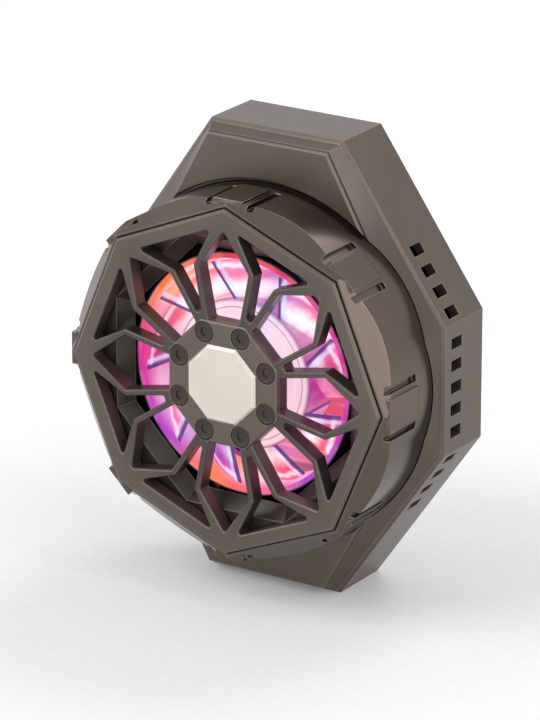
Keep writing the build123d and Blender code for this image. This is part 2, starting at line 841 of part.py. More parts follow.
with BuildPart() as stator_coils:
    for angle in quarter_angles:
        inward = Plane(
            origin=(
                coil_inner * cos(radians(angle)),
                phone_face_y - core_back - core_height / 2,
                hub_height + coil_inner * sin(radians(angle)),
            ),
            x_dir=(0, -1, 0),
            z_dir=(cos(radians(angle)), 0, sin(radians(angle))),
        )
        hole_height = core_height + 2 * seat_gap
        hole_width = pole_width + 2 * seat_gap
        with BuildSketch(inward):
            RectangleRounded(hole_height + 2 * coil_build, hole_width + 2 * coil_build, coil_corner)
            Rectangle(hole_height, hole_width, mode=Mode.SUBTRACT)
        extrude(amount=coil_outer - coil_inner)
stator_coils.part.label = "stator_coils"
export_step(stator_coils.part, "parts/stator_coils.step")


# Rotor: ring magnet inside a steel yoke, both inside the impeller's hub
with BuildPart() as rotor_magnet:
    magnet_height = core_height + 2 * magnet_overhang
    ring(core_back - magnet_overhang, magnet_rotor_outer, magnet_rotor_inner, magnet_height)
rotor_magnet.part.label = "rotor_magnet"
export_step(rotor_magnet.part, "parts/rotor_magnet.step")

with BuildPart() as rotor_yoke:
    ring(impeller_back + fit, yoke_outer, yoke_inner, rotor_top_back - impeller_back - fit)
    ring(rotor_top_back, yoke_outer, impeller_boss_radius + yoke_hole_gap, yoke_wall)
rotor_yoke.part.label = "rotor_yoke"
export_step(rotor_yoke.part, "parts/rotor_yoke.step")


def blade_section(radius, chord, pitch, shift, angle):
    """One curved blade section, drawn on a plane square to the radius at that angle."""
    out = (cos(radians(angle)), 0, sin(radians(angle)))
    along = (-sin(radians(angle)), 0, cos(radians(angle)))
    level = cos(radians(pitch))
    chord_line = (level * along[0], -sin(radians(pitch)), level * along[2])
    middle = impeller_back + blade_lift + blade_root_chord * sin(radians(blade_root_pitch)) / 2
    origin = (
        radius * out[0] + shift * along[0],
        phone_face_y - middle,
        hub_height + radius * out[2] + shift * along[2],
    )
    half = chord / 2
    skin = blade_thickness / 2
    with BuildSketch(Plane(origin=origin, x_dir=chord_line, z_dir=out)) as section:
        with BuildLine():
            lower = ThreePointArc((-half, -skin), (0, blade_camber - skin), (half, -skin))
            upper = ThreePointArc((-half, skin), (0, blade_camber + skin), (half, skin))
            Line(lower @ 0, upper @ 0)
            Line(lower @ 1, upper @ 1)
        make_face()
    return section.sketch


# Impeller: clear hub cup with swept blades
with BuildPart() as impeller:
    for blade in range(blade_count):
        turn = blade * 360 / blade_count
        root = blade_section(cup_outer - blade_root_sink, blade_root_chord, blade_root_pitch, 0, turn)
        tip = blade_section(tip_radius, blade_tip_chord, blade_tip_pitch, blade_sweep, turn)
        loft([root, tip])
    ring(impeller_back, tip_radius, cup_inner + seat_gap, cup_front - impeller_back, mode=Mode.INTERSECT)
    discs(impeller_back, [(0, 0)], cup_outer, cup_front - impeller_edge - impeller_back)
    with BuildSketch(front(cup_front - impeller_edge)):
        Circle(cup_outer)
    extrude(amount=impeller_edge, taper=edge_taper)
    discs(impeller_back, [(0, 0)], cup_inner, cup_head_back - impeller_back, mode=Mode.SUBTRACT)
    discs(rotor_top_back, [(0, 0)], impeller_boss_radius, cup_head_back - rotor_top_back)
    bore_length = shaft_front - rotor_top_back
    discs(rotor_top_back, [(0, 0)], shaft_radius + slide_fit, bore_length, mode=Mode.SUBTRACT)
impeller.part.label = "impeller"
export_step(impeller.part, "parts/impeller.step")


# Heatsink: base plate with straight fins that run across to the side slots
with BuildPart() as heatsink:
    with BuildSketch(front(sink_back)):
        Circle(sink_radius)
        Rectangle(body_width, sink_height, mode=Mode.INTERSECT)
    extrude(amount=sink_base_thickness)
    with BuildSketch(front(sink_face)):
        with GridLocations(0, fin_pitch, 1, fin_count):
            Rectangle(body_width, fin_thickness)
        Circle(sink_radius, mode=Mode.INTERSECT)
        with Locations(*sink_places):
            Circle(screw_clear_radius, mode=Mode.SUBTRACT)
    extrude(amount=fin_height)
    discs(sink_back, sink_places, screw_hole_radius, sink_base_thickness, mode=Mode.SUBTRACT)
heatsink.part.label = "heatsink"
export_step(heatsink.part, "parts/heatsink.step")


# Thermoelectric module: cold ceramic, pellets, hot ceramic
def ceramic(depth):
    """One square ceramic plate of the module."""
    with BuildPart() as plate:
        with BuildSketch(front(depth)):
            Rectangle(module_side, module_side)
        extrude(amount=ceramic_thickness)
    return plate.part


cold_ceramic = ceramic(cold_face)
cold_ceramic.label = "cold_ceramic"
export_step(cold_ceramic, "parts/cold_ceramic.step")
hot_ceramic = ceramic(pellet_front)
hot_ceramic.label = "hot_ceramic"
export_step(hot_ceramic, "parts/hot_ceramic.step")

with BuildPart() as pellets:
    with BuildSketch(front(pellet_back)):
        with GridLocations(pellet_pitch, pellet_pitch, pellet_rows, pellet_rows):
            Rectangle(pellet_side, pellet_side)
    extrude(amount=pellet_height)
pellets.part.label = "pellets"
export_step(pellets.part, "parts/pellets.step")


# Module leads: two short wires from the module's lower edge to the main board
lead_depth = pellet_front - lead_drop
lead_end_z = board_edge + board_gap + lead_spread
lead_rest_y = phone_face_y - pcb_front - lead_radius - seat_gap
with BuildPart() as module_leads:
    for right in (1, -1):
        lead_x = right * lead_spread
        start = (lead_x, phone_face_y - lead_depth, hub_height - module_side / 2 - gasket_gap)
        bend = (lead_x, phone_face_y - lead_depth, hub_height - sink_height / 2)
        rise = (lead_x, lead_rest_y, hub_height - board_edge + lead_rise_gap)
        finish = (lead_x, lead_rest_y, hub_height - lead_end_z)
        with BuildLine() as lead_path:
            FilletPolyline(start, bend, rise, finish, radius=2 * lead_radius)
        with BuildSketch(Plane(origin=start, x_dir=(1, 0, 0), z_dir=(0, 0, -1))):
            Circle(lead_radius)
        sweep(path=lead_path.line)
module_leads.part.label = "module_leads"
export_step(module_leads.part, "parts/module_leads.step")


# Insulating gasket: foam between the cold plate and the heatsink, round the module
with BuildPart() as gasket:
    with BuildSketch(front(cold_face + seat_gap)):
        Circle(cold_plate_radius - gasket_gap)
        Rectangle(gasket_hole_side, gasket_hole_side, mode=Mode.SUBTRACT)
    extrude(amount=sink_back - cold_face - 2 * seat_gap)
    with BuildSketch(front(lead_depth - lead_channel / 2)):
        with Locations((lead_spread, -module_side / 2), (-lead_spread, -module_side / 2)):
            Rectangle(lead_channel, module_side)
    extrude(amount=sink_back, mode=Mode.SUBTRACT)
gasket.part.label = "insulating_gasket"
export_step(gasket.part, "parts/insulating_gasket.step")


# Cold plate: round metal face that touches the phone
with BuildPart() as cold_plate:
    discs(0, [(0, 0)], cold_plate_radius, cold_plate_thickness)
    chamfer(cold_plate.faces().sort_by(Axis.Y)[-1].edges(), cold_plate_bevel)
cold_plate.part.label = "cold_plate"
export_step(cold_plate.part, "parts/cold_plate.step")


# Contact ring: soft ring flush with the cold plate, over the magnets
with BuildPart() as contact_ring:
    ring(0, groove_outer_radius - fit, groove_inner_radius + fit, contact_ring_thickness)
    chamfer(contact_ring.faces().sort_by(Axis.Y)[-1].edges(), cold_plate_bevel)
contact_ring.part.label = "contact_ring"
export_step(contact_ring.part, "parts/contact_ring.step")


# Magnet segments: eighteen arcs in a ring, on a thin steel yoke
with BuildPart() as magnet_segments:
    with BuildSketch(front(magnet_back)):
        Circle(magnet_outer_radius)
        Circle(magnet_inner_radius, mode=Mode.SUBTRACT)
        gap_width = magnet_inner_radius * radians(magnet_gap_angle)
        with PolarLocations((magnet_inner_radius + magnet_outer_radius) / 2, magnet_count):
            Rectangle(magnet_outer_radius - magnet_inner_radius + overrun, gap_width, mode=Mode.SUBTRACT)
    extrude(amount=magnet_thickness)
magnet_segments.part.label = "magnet_segments"
export_step(magnet_segments.part, "parts/magnet_segments.step")

with BuildPart() as magnet_yoke:
    ring(magnet_front, groove_outer_radius - fit, groove_inner_radius + fit, magnet_yoke_thickness)
magnet_yoke.part.label = "magnet_yoke"
export_step(magnet_yoke.part, "parts/magnet_yoke.step")


# Main board: fills the lower wing, notched round the case bosses
lower_bosses = [(case_screw_x, -case_screw_z), (-case_screw_x, -case_screw_z)]
with BuildPart() as main_board:
    with BuildSketch(front(pcb_back)):
        Polygon(*body_corners(wall + board_gap), align=None)
        with Locations((0, -board_edge - body_height / 2)):
            Rectangle(body_width, body_height, mode=Mode.INTERSECT)
        with Locations(*lower_bosses):
            Circle(case_boss_radius + board_gap, mode=Mode.SUBTRACT)
    extrude(amount=board_thickness)
main_board.part.label = "main_board"
export_step(main_board.part, "parts/main_board.step")

with BuildPart() as board_components:
    with BuildSketch(front(pcb_front)):
        with Locations((choke_x, -choke_z)):
            RectangleRounded(choke_side, choke_side, coil_corner)
    extrude(amount=choke_height)
    with BuildSketch(front(pcb_front)):
        with Locations((-choke_x, -chip_z)):
            Rectangle(chip_width, chip_length)
    extrude(amount=chip_height)
    with BuildSketch(front(pcb_front)):
        with Locations((part_x, -part_z), (-part_x, -part_z)):
            Rectangle(part_width, part_length)
    extrude(amount=part_height)
board_components.part.label = "board_components"
export_step(board_components.part, "parts/board_components.step")


# Socket: rounded metal shell with a closed back, and the tongue inside it
mouth = Plane(
    origin=(0, phone_face_y - socket_centre, socket_recess + socket_pad_depth),
    x_dir=(1, 0, 0),
    z_dir=(0, 0, 1),
)
inner_width = socket_width - 2 * socket_shell
inner_height = socket_height - 2 * socket_shell
inner_round = socket_round - socket_shell
with BuildPart() as usb_socket:
    with BuildSketch(mouth):
        RectangleRounded(socket_width, socket_height, socket_round)
    extrude(amount=socket_length)
    with BuildSketch(mouth):
        RectangleRounded(inner_width, inner_height, inner_round)
    extrude(amount=socket_length - socket_shell, mode=Mode.SUBTRACT)
usb_socket.part.label = "usb_socket"
export_step(usb_socket.part, "parts/usb_socket.step")

with BuildPart() as usb_tongue:
    with BuildSketch(mouth.offset(socket_length - socket_shell - tongue_base)):
        RectangleRounded(inner_width - fit, inner_height - fit, inner_round - fit)
    extrude(amount=tongue_base)
    with BuildSketch(mouth.offset(socket_length - socket_shell - tongue_base - tongue_length)):
        Rectangle(tongue_width, tongue_thickness)
    extrude(amount=tongue_length)
usb_tongue.part.label = "usb_tongue"
export_step(usb_tongue.part, "parts/usb_tongue.step")


# Screws
with BuildPart() as fan_screws:
    pan_screws(fan_places, board_front, screw_head_radius, screw_head_height, fan_screw_length)
fan_screws.part.label = "fan_screws"
export_step(fan_screws.part, "parts/fan_screws.step")

with BuildPart() as heatsink_screws:
    pan_screws(sink_places, sink_face, screw_head_radius, screw_head_height, sink_screw_length)
heatsink_screws.part.label = "heatsink_screws"
export_step(heatsink_screws.part, "parts/heatsink_screws.step")

drum_head_back = floor_back - drum_screw_head_height
with BuildPart() as drum_screws:
    discs(drum_head_back, drum_places, drum_screw_head, drum_screw_head_height)
    discs(floor_back, drum_places, screw_radius, floor_thickness + drum_screw_length - fit)
    with BuildSketch(front(drum_head_back)):
        with Locations(*drum_places):
            RegularPolygon(socket_radius, key_sides)
    extrude(amount=socket_depth, mode=Mode.SUBTRACT)
drum_screws.part.label = "drum_screws"
export_step(drum_screws.part, "parts/drum_screws.step")

with BuildPart() as case_screws:
    for place in case_places:
        with BuildSketch(front(cover_back)):
            with Locations(place):
                Circle(case_screw_head)
        with BuildSketch(front(cover_back + case_screw_head - case_screw_radius)):
            with Locations(place):
                Circle(case_screw_radius)
        loft()
    discs(cover_back, case_places, case_screw_radius, case_screw_length)
    with BuildSketch(front(cover_back)):
        with Locations(*case_places):
            RegularPolygon(socket_radius, key_sides)
    extrude(amount=socket_depth, mode=Mode.SUBTRACT)
case_screws.part.label = "case_screws"
export_step(case_screws.part, "parts/case_screws.step")
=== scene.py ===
import json
import math

import bmesh
import bpy
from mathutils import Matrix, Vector


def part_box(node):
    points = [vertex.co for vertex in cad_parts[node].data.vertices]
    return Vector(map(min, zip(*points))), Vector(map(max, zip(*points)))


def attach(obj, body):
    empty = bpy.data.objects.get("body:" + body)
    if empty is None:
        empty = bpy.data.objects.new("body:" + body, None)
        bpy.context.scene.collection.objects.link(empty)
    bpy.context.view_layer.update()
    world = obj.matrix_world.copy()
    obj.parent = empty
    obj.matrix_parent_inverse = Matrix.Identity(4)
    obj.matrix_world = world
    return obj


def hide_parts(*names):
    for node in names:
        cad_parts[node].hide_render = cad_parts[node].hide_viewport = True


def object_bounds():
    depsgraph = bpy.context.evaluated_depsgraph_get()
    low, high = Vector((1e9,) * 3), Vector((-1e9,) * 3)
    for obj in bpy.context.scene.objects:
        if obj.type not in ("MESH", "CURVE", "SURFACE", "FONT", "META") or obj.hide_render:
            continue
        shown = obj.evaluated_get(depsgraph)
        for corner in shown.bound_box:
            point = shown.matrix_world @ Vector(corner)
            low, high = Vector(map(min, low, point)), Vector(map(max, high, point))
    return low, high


bl_info = {
    "name": "Phone Cooling Fan",
    "version": (1, 0, 0),
    "blender": (4, 5, 0),
    "location": "3D View > Sidebar > Cooling Fan",
    "description": "Dresses a magnetic phone cooling fan: paint, lit impeller, screws, fins and studio",
    "category": "Object",
}

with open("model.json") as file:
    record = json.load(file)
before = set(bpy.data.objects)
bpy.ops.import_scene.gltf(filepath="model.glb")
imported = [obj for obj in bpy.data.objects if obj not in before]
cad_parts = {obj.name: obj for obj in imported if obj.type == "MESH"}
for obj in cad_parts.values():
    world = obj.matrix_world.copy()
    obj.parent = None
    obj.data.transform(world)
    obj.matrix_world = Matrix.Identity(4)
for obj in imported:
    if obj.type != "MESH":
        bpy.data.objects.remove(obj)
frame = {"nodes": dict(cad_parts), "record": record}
cad_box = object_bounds()

MM = 0.001
HUB_HEIGHT = (cad_box[0][2] + cad_box[1][2]) / 2
HUB = (0.0, 0.0, HUB_HEIGHT)
SHARP_ANGLE = math.radians(28)
MERGE_DISTANCE = 1e-6

# The grille: its sides, the distance of their inner edges from the hub, and the darker web inside
SIDES = 8
GRILLE_BORDER = 24.5 * MM
WEB_FADE = 5.5 * MM
WEB_TONE = 0.62

# The impeller's blades
BLADE_ROOT_CHORD = 9.4 * MM
BLADE_TIP_CHORD = 13.4 * MM
BLADE_ROOT_PITCH = math.radians(40)
BLADE_TIP_PITCH = math.radians(30)
BLADE_CAMBER = 0.9 * MM
BLADE_SWEEP = 3.4 * MM
BLADE_SKIN = 0.4 * MM
BLADE_TIP_SKIN = 0.45 * BLADE_SKIN
BLADE_EDGE_POWER = 8
BLADE_LIFT = 1.0 * MM
BLADE_ROOT_SINK = 0.7 * MM

# How far from the hub the light reaches on each piece that takes it
RING_REACH = 19.4 * MM
FRAME_REACH = 18.8 * MM
FINS_REACH = 19 * MM
LEDS_REACH = 30 * MM

# How strongly an LED is lit, and where the ring's bore gives way to its front face
LED_GLOW = 1.5
RING_BORE_END = -4 * MM
RING_FACE = -7.5 * MM

# Most of a noise lies between the first two values
NOISE_LOW = 0.3
NOISE_HIGH = 0.7
BEVEL_SAMPLES = 6

# The studio: name, place from the middle of the fan, width and height in metres, and share of the
# key light's power
SOFTBOXES = (
    ("key_softbox", (-0.55, -0.75, 0.85), 0.7, 0.7, 1.0),
    ("fill_softbox", (0.9, -0.55, 0.45), 0.6, 0.6, 0.45),
    ("rim_softbox", (0.1, 0.75, 0.9), 0.5, 0.5, 0.5),
    ("left_strip", (-0.75, -0.25, 0.05), 0.1, 0.9, 0.3),
    ("right_strip", (0.8, -0.05, 0.25), 0.1, 0.9, 0.25),
)
SKY = (0.95, 0.97, 1.0, 1.0)
SKY_STRENGTH = 0.55
FLOOR_HALF = 4.0
SENSOR_MM = 36

# Where the shadow on the floor starts to fade and where it's gone, and how white the floor is under it
SHADOW_FROM = 0.05
SHADOW_TO = 0.30
SHADOW_WHITE = 0.12


# Colours


def linear(red, green, blue):
    """A colour written as it looks on a screen, 0 to 255, as the linear colour a shader takes."""
    def channel(value):
        share = value / 255
        return share / 12.92 if share <= 0.04045 else ((share + 0.055) / 1.055) ** 2.4
    return (channel(red), channel(green), channel(blue), 1.0)


def shade(colour, share):
    """A colour made lighter or darker."""
    return tuple(channel * share for channel in colour[:3]) + (1.0,)


# Hues of the light, and how white it is between two lamps, beside a lamp and at a lamp
MAGENTA = linear(205, 35, 135)
PINK = linear(240, 130, 180)
PURPLE = linear(165, 60, 185)
CORAL = linear(245, 90, 120)
LILAC = linear(180, 125, 205)
PEACH = linear(250, 150, 150)
ORANGE = linear(240, 115, 35)
RED = linear(215, 50, 50)
DIM, HALF, BRIGHT = 0.15, 0.5, 0.95

# The light round the fan, from the left side going under the hub: place as a share of a turn, hue,
# and how white it is
LIGHT = [
    (0.00, MAGENTA, DIM),
    (0.07, PINK, BRIGHT),
    (0.14, PINK, HALF),
    (0.19, PURPLE, DIM),
    (0.25, PINK, BRIGHT),
    (0.31, CORAL, HALF),
    (0.39, CORAL, BRIGHT),
    (0.50, MAGENTA, DIM),
    (0.62, PINK, BRIGHT),
    (0.69, LILAC, HALF),
    (0.75, PINK, BRIGHT),
    (0.88, PEACH, BRIGHT),
    (1.00, MAGENTA, DIM),
]
GLOW = [(place, hue) for place, hue, _ in LIGHT]
WHITENESS = [(place, (white, white, white, 1.0)) for place, _, white in LIGHT]

# The hues of the ring round the blades
RIM_GLOW = [
    (0.00, MAGENTA),
    (0.12, PURPLE),
    (0.19, ORANGE),
    (0.27, CORAL),
    (0.37, PURPLE),
    (0.55, MAGENTA),
    (0.76, RED),
    (0.88, ORANGE),
    (1.00, MAGENTA),
]

# What the light's colours are mixed with on the blades: painted white and gold highlights, a painted
# pale blue glint and a painted dark violet shade
WHITE = (1.0, 0.985, 1.0, 1.0)
GOLD = linear(255, 168, 44)
PALE_BLUE = linear(196, 210, 252)
VIOLET = linear(66, 18, 112)

# Clear plastic where no light reaches it, and behind its own glow
DARK_GLASS = linear(38, 30, 36)
UNLIT_PLASTIC = (0.10, 0.07, 0.12, 1.0)

# Painted highlights along edges: lighter paint on a painted shell, and near white on cut metal
EDGE_HIGHLIGHT = linear(188, 178, 166)
METAL_EDGE_HIGHLIGHT = (1.0, 0.99, 0.97, 1.0)

BLACK = (0.0, 0.0, 0.0, 1.0)


# Node trees


class Wire:
    """One output socket. Arithmetic on it adds Math nodes to its tree."""

    def __init__(self, graph, socket):
        self.graph = graph
        self.socket = socket

    def math(self, operation, *others, clamp=False):
        """A Math node on this socket and the others."""
        settings = {"operation": operation, "use_clamp": clamp}
        return self.graph.node("ShaderNodeMath", settings, dict(enumerate((self,) + others)))

    def __add__(self, other):
        return self.math("ADD", other)

    def __sub__(self, other):
        return self.math("SUBTRACT", other)

    def __rsub__(self, other):
        return self.graph.node("ShaderNodeMath", {"operation": "SUBTRACT"}, {0: other, 1: self})

    def __mul__(self, other):
        return self.math("MULTIPLY", other)

    def __truediv__(self, other):
        return self.math("DIVIDE", other)

    __radd__ = __add__
    __rmul__ = __mul__

    def clamped(self):
        """This value, held between 0 and 1."""
        return self.math("ADD", 0.0, clamp=True)


class Graph:
    """A node tree with one method that adds any node."""

    def __init__(self, tree):
        self.tree = tree
        tree.nodes.clear()

    def node(self, kind, settings=None, sockets=None, output=0):
        """Adds a node, sets it up, fills its sockets and gives back one of its outputs."""
        node = self.tree.nodes.new(kind)
        for key, value in (settings or {}).items():
            if key == "stops":
                self.fill_ramp(node.color_ramp, value)
            elif key == "interpolation":
                node.color_ramp.interpolation = value
            else:
                setattr(node, key, value)
        for key, value in (sockets or {}).items():
            socket = node.inputs[key]
            if isinstance(value, (Wire, list)):
                for wire in value if isinstance(value, list) else [value]:
                    self.tree.links.new(wire.socket, socket)
            else:
                socket.default_value = value
        return Wire(self, node.outputs[output]) if len(node.outputs) else node

    def fill_ramp(self, ramp, stops):
        """Gives a colour ramp these (place, colour) stops."""
        while len(ramp.elements) > 1:
            ramp.elements.remove(ramp.elements[-1])
        for index, (place, colour) in enumerate(stops):
            stop = ramp.elements[0] if index == 0 else ramp.elements.new(place)
            stop.position = place
            stop.color = colour

    def mix(self, factor, first, second, blend="MIX"):
        """Two colours mixed."""
        settings = {"data_type": "RGBA", "blend_type": blend}
        return self.node("ShaderNodeMix", settings, {0: factor, 6: first, 7: second}, output=2)

    def vector(self, operation, *inputs, output=0):
        """A Vector Math node on these inputs."""
        sockets = dict(enumerate(inputs))
        return self.node("ShaderNodeVectorMath", {"operation": operation}, sockets, output)


class Finish(Graph):
    """A material's node tree, with the coordinates and the closing shader that the finishes share."""

    def __init__(self, name):
        self.material = bpy.data.materials.new(name)
        self.material.use_nodes = True
        super().__init__(self.material.node_tree)
        place = self.node("ShaderNodeTexCoord", output="Object")
        self.place = self.vector("SUBTRACT", place, HUB)
        parts = self.node("ShaderNodeSeparateXYZ", {}, {0: self.place}).socket.node.outputs
        self.x, self.y, self.z = (Wire(self, part) for part in parts)

    def radius(self):
        """Distance from the hub axis, in metres."""
        return (self.x * self.x + self.z * self.z).math("SQRT")

    def turn(self):
        """Angle round the hub axis as a share of a turn, from 0 at the left going under the hub."""
        return self.z.math("ARCTAN2", self.x) / math.tau + 0.5

    def octagon(self):
        """Distance from the hub axis, square to the grille's nearest side."""
        fold = (self.turn() * SIDES).math("FRACT") * (math.tau / SIDES) - math.pi / SIDES
        return self.radius() * fold.math("COSINE")

    def noise(self, size, detail=2.0, stretch=(1, 1, 1)):
        """Noise whose grains are about size metres across."""
        scale = tuple(1 / (size * share) for share in stretch)
        spot = self.vector("MULTIPLY", self.place, scale)
        return self.node("ShaderNodeTexNoise", {}, {"Vector": spot, "Scale": 1.0, "Detail": detail})

    def spread(self, source, low, high, dark, light):
        """A value from low to high stretched over dark to light."""
        sockets = {0: source, 1: low, 2: high, 3: dark, 4: light}
        return self.node("ShaderNodeMapRange", {}, sockets)

    def vary(self, noise, dark, light):
        """A noise stretched over dark to light."""
        return self.spread(noise, NOISE_LOW, NOISE_HIGH, dark, light)

    def grey(self, value):
        """A value as a grey colour."""
        return self.node("ShaderNodeCombineXYZ", {}, {0: value, 1: value, 2: value})

    def toned(self, colour, tone):
        """A colour times a value."""
        return self.mix(1.0, colour, self.grey(tone), blend="MULTIPLY")

    def bell(self, source, middle, half_width):
        """1 where the value is at the middle, falling smoothly to 0 at each side of it."""
        slope = (1 - (source - middle).math("ABSOLUTE") / half_width).clamped()
        return slope * slope * (3 - 2 * slope)

    def edges(self, reach, low=0.90, high=0.995):
        """1 along the edges, within about this reach of them, and 0 on the flats."""
        bevelled = self.node("ShaderNodeBevel", {"samples": BEVEL_SAMPLES}, {"Radius": reach})
        true = self.node("ShaderNodeNewGeometry", output="Normal")
        likeness = self.vector("DOT_PRODUCT", bevelled, true, output="Value")
        return self.spread(likeness, low, high, 1.0, 0.0)

    def bump(self, height, distance, strength=1.0, rounding=0.0):
        """A bumped normal, over edges rounded by the given radius."""
        sockets = {"Strength": strength, "Distance": distance, "Height": height}
        if rounding:
            sockets["Normal"] = self.node(
                "ShaderNodeBevel", {"samples": BEVEL_SAMPLES}, {"Radius": rounding},
            )
        return self.node("ShaderNodeBump", {}, sockets)

    def close(self, **sockets):
        """Adds the Principled shader with these sockets and gives back the material."""
        named = {}
        for key, value in sockets.items():
            named[key.replace("_", " ").title().replace("Ior", "IOR")] = value
        shader = self.node("ShaderNodeBsdfPrincipled", {}, named)
        self.node("ShaderNodeOutputMaterial", {}, {"Surface": shader})
        return self.material


# Finishes


def painted_shell(name, colour, roughness, flake=0.09, metallic=0.55, rounding=0.2 * MM, highlight_strength=0.4,
                  depth=0.010 * MM, dark_web=False):
    """Satin metallic paint on a moulding: fine flake, a sand-like grain, clouds, and a painted highlight
    along the edges.
    With a dark web it gets darker inside the grille's border."""
    paint = Finish(name)
    flakes = paint.noise(0.1 * MM, detail=1.0)
    grain = paint.noise(0.22 * MM, detail=2.0)
    clouds = paint.noise(14 * MM, detail=1.0)
    tone = paint.vary(flakes, 1 - flake, 1 + flake) * paint.vary(clouds, 0.94, 1.06)
    tone = tone * paint.vary(grain, 0.93, 1.07)
    if dark_web:
        side = paint.octagon()
        tone = tone * paint.spread(side, GRILLE_BORDER - WEB_FADE, GRILLE_BORDER, WEB_TONE, 1.0)
    # Painted highlight: lighter paint along the edges, patchy with the clouds
    highlight = paint.edges(0.25 * MM) * paint.spread(clouds, 0.35, 0.65, 0.5 * highlight_strength, highlight_strength)
    base = paint.mix(highlight, paint.toned(colour, tone), EDGE_HIGHLIGHT)
    rough = paint.vary(grain * 0.5 + clouds * 0.5, roughness - 0.05, roughness + 0.06)
    normal = paint.bump(grain * 0.8 + flakes * 0.2, depth, 0.5, rounding)
    return paint.close(
        base_color=base, metallic=metallic, roughness=rough, normal=normal,
        coat_weight=0.1, coat_roughness=0.2,
    )


def moulded_plastic(name, colour, roughness, texture=0.3 * MM, depth=0.015 * MM, rounding=0.15 * MM):
    """Spark-textured moulded plastic with faint flow marks."""
    plastic = Finish(name)
    grain = plastic.noise(texture, detail=3.0)
    flow = plastic.noise(7 * MM, stretch=(1, 1, 3))
    base = plastic.mix(plastic.vary(flow, 0.0, 0.35), colour, shade(colour, 1.35))
    rough = plastic.vary(grain, roughness - 0.06, roughness + 0.06)
    normal = plastic.bump(grain, depth, 0.8, rounding)
    return plastic.close(base_color=base, roughness=rough, normal=normal)


def brushed_metal(name, colour, roughness, stretch=(1, 1, 1), scratch=0.12 * MM, metallic=0.95,
                  rounding=0.1 * MM):
    """Metal with fine scratches, which are drawn out along the axes by stretch."""
    metal = Finish(name)
    lines = metal.noise(scratch, detail=3.0, stretch=stretch)
    clouds = metal.noise(5 * MM)
    bright = metal.spread(lines * 0.6 + clouds * 0.4, 0.35, 0.65, 0.0, 1.0)
    base = metal.mix(bright, shade(colour, 0.86), colour)
    rough = metal.vary(lines, roughness - 0.07, roughness + 0.09)
    normal = metal.bump(lines, 0.004 * MM, 0.5, rounding)
    return metal.close(base_color=base, metallic=metallic, roughness=rough, normal=normal)


def satin_metal(name, colour, roughness, metallic=0.55, rounding=0.25 * MM):
    """Bead-blasted, anodised metal: a very fine even grain, and cut edges with a painted highlight on
    them.
    """
    metal = Finish(name)
    grain = metal.noise(0.07 * MM, detail=1.0)
    clouds = metal.noise(6 * MM, detail=1.0)
    tone = metal.vary(grain, 0.96, 1.03) * metal.vary(clouds, 0.96, 1.02)
    # Painted highlight: near white along the cut edges
    base = metal.mix(metal.edges(0.3 * MM) * 0.6, metal.toned(colour, tone), METAL_EDGE_HIGHLIGHT)
    rough = metal.vary(grain, roughness - 0.04, roughness + 0.05)
    normal = metal.bump(grain, 0.002 * MM, 0.4, rounding)
    return metal.close(base_color=base, metallic=metallic, roughness=rough, normal=normal)


def turned_metal(name, colour, roughness, pitch=0.45 * MM, depth=0.01 * MM):
    """Metal faced on a lathe: rings of uneven depth round the hub axis, and a painted sheen on two
    opposite sides.
    """
    metal = Finish(name)
    radius = metal.radius()
    sockets = {"W": radius / pitch, "Scale": 1.0, "Detail": 3.0}
    uneven = metal.node("ShaderNodeTexNoise", {"noise_dimensions": "1D"}, sockets)
    fine = (radius * (math.tau / (pitch * 0.5))).math("SINE") * 0.5 + 0.5
    # Painted sheen: the base colour is lighter on two opposite sides of the hub
    sheen = ((metal.turn() * math.tau * 2).math("SINE") * 0.5 + 0.5) * 0.06
    base = metal.toned(colour, metal.vary(uneven, 0.80, 1.0) + sheen)
    rough = metal.vary(uneven, roughness - 0.08, roughness + 0.1)
    normal = metal.bump(uneven + fine * 0.4, depth, 0.8, 0.12 * MM)
    return metal.close(base_color=base, metallic=1.0, roughness=rough, normal=normal)


def soft_rubber(name, colour, roughness):
    """Matt silicone with a faint bloom and a fine skin."""
    rubber = Finish(name)
    skin = rubber.noise(0.12 * MM, detail=2.0)
    bloom = rubber.noise(4 * MM, detail=3.0)
    base = rubber.mix(rubber.spread(bloom, 0.4, 0.7, 0.0, 0.5), colour, shade(colour, 1.8))
    rough = rubber.vary(bloom, roughness - 0.05, roughness + 0.08)
    normal = rubber.bump(skin, 0.008 * MM, 0.6, 0.12 * MM)
    return rubber.close(base_color=base, roughness=rough, normal=normal)


def circuit_board(name, mask, copper, pitch=1.4 * MM):
    """Solder mask over faint copper tracks."""
    board = Finish(name)
    sockets = {"Vector": board.vector("MULTIPLY", board.place, (1 / pitch, 0, 1 / pitch)), "Scale": 1.0}
    edge = board.node("ShaderNodeTexVoronoi", {"feature": "DISTANCE_TO_EDGE"}, sockets)
    track = board.spread(edge, 0.05, 0.09, 1.0, 0.0)
    base = board.mix(track, mask, copper)
    grain = board.noise(0.3 * MM)
    rough = board.vary(grain, 0.3, 0.42)
    normal = board.bump(track + grain * 0.2, 0.02 * MM, 0.6)
    return board.close(base_color=base, roughness=rough, normal=normal)


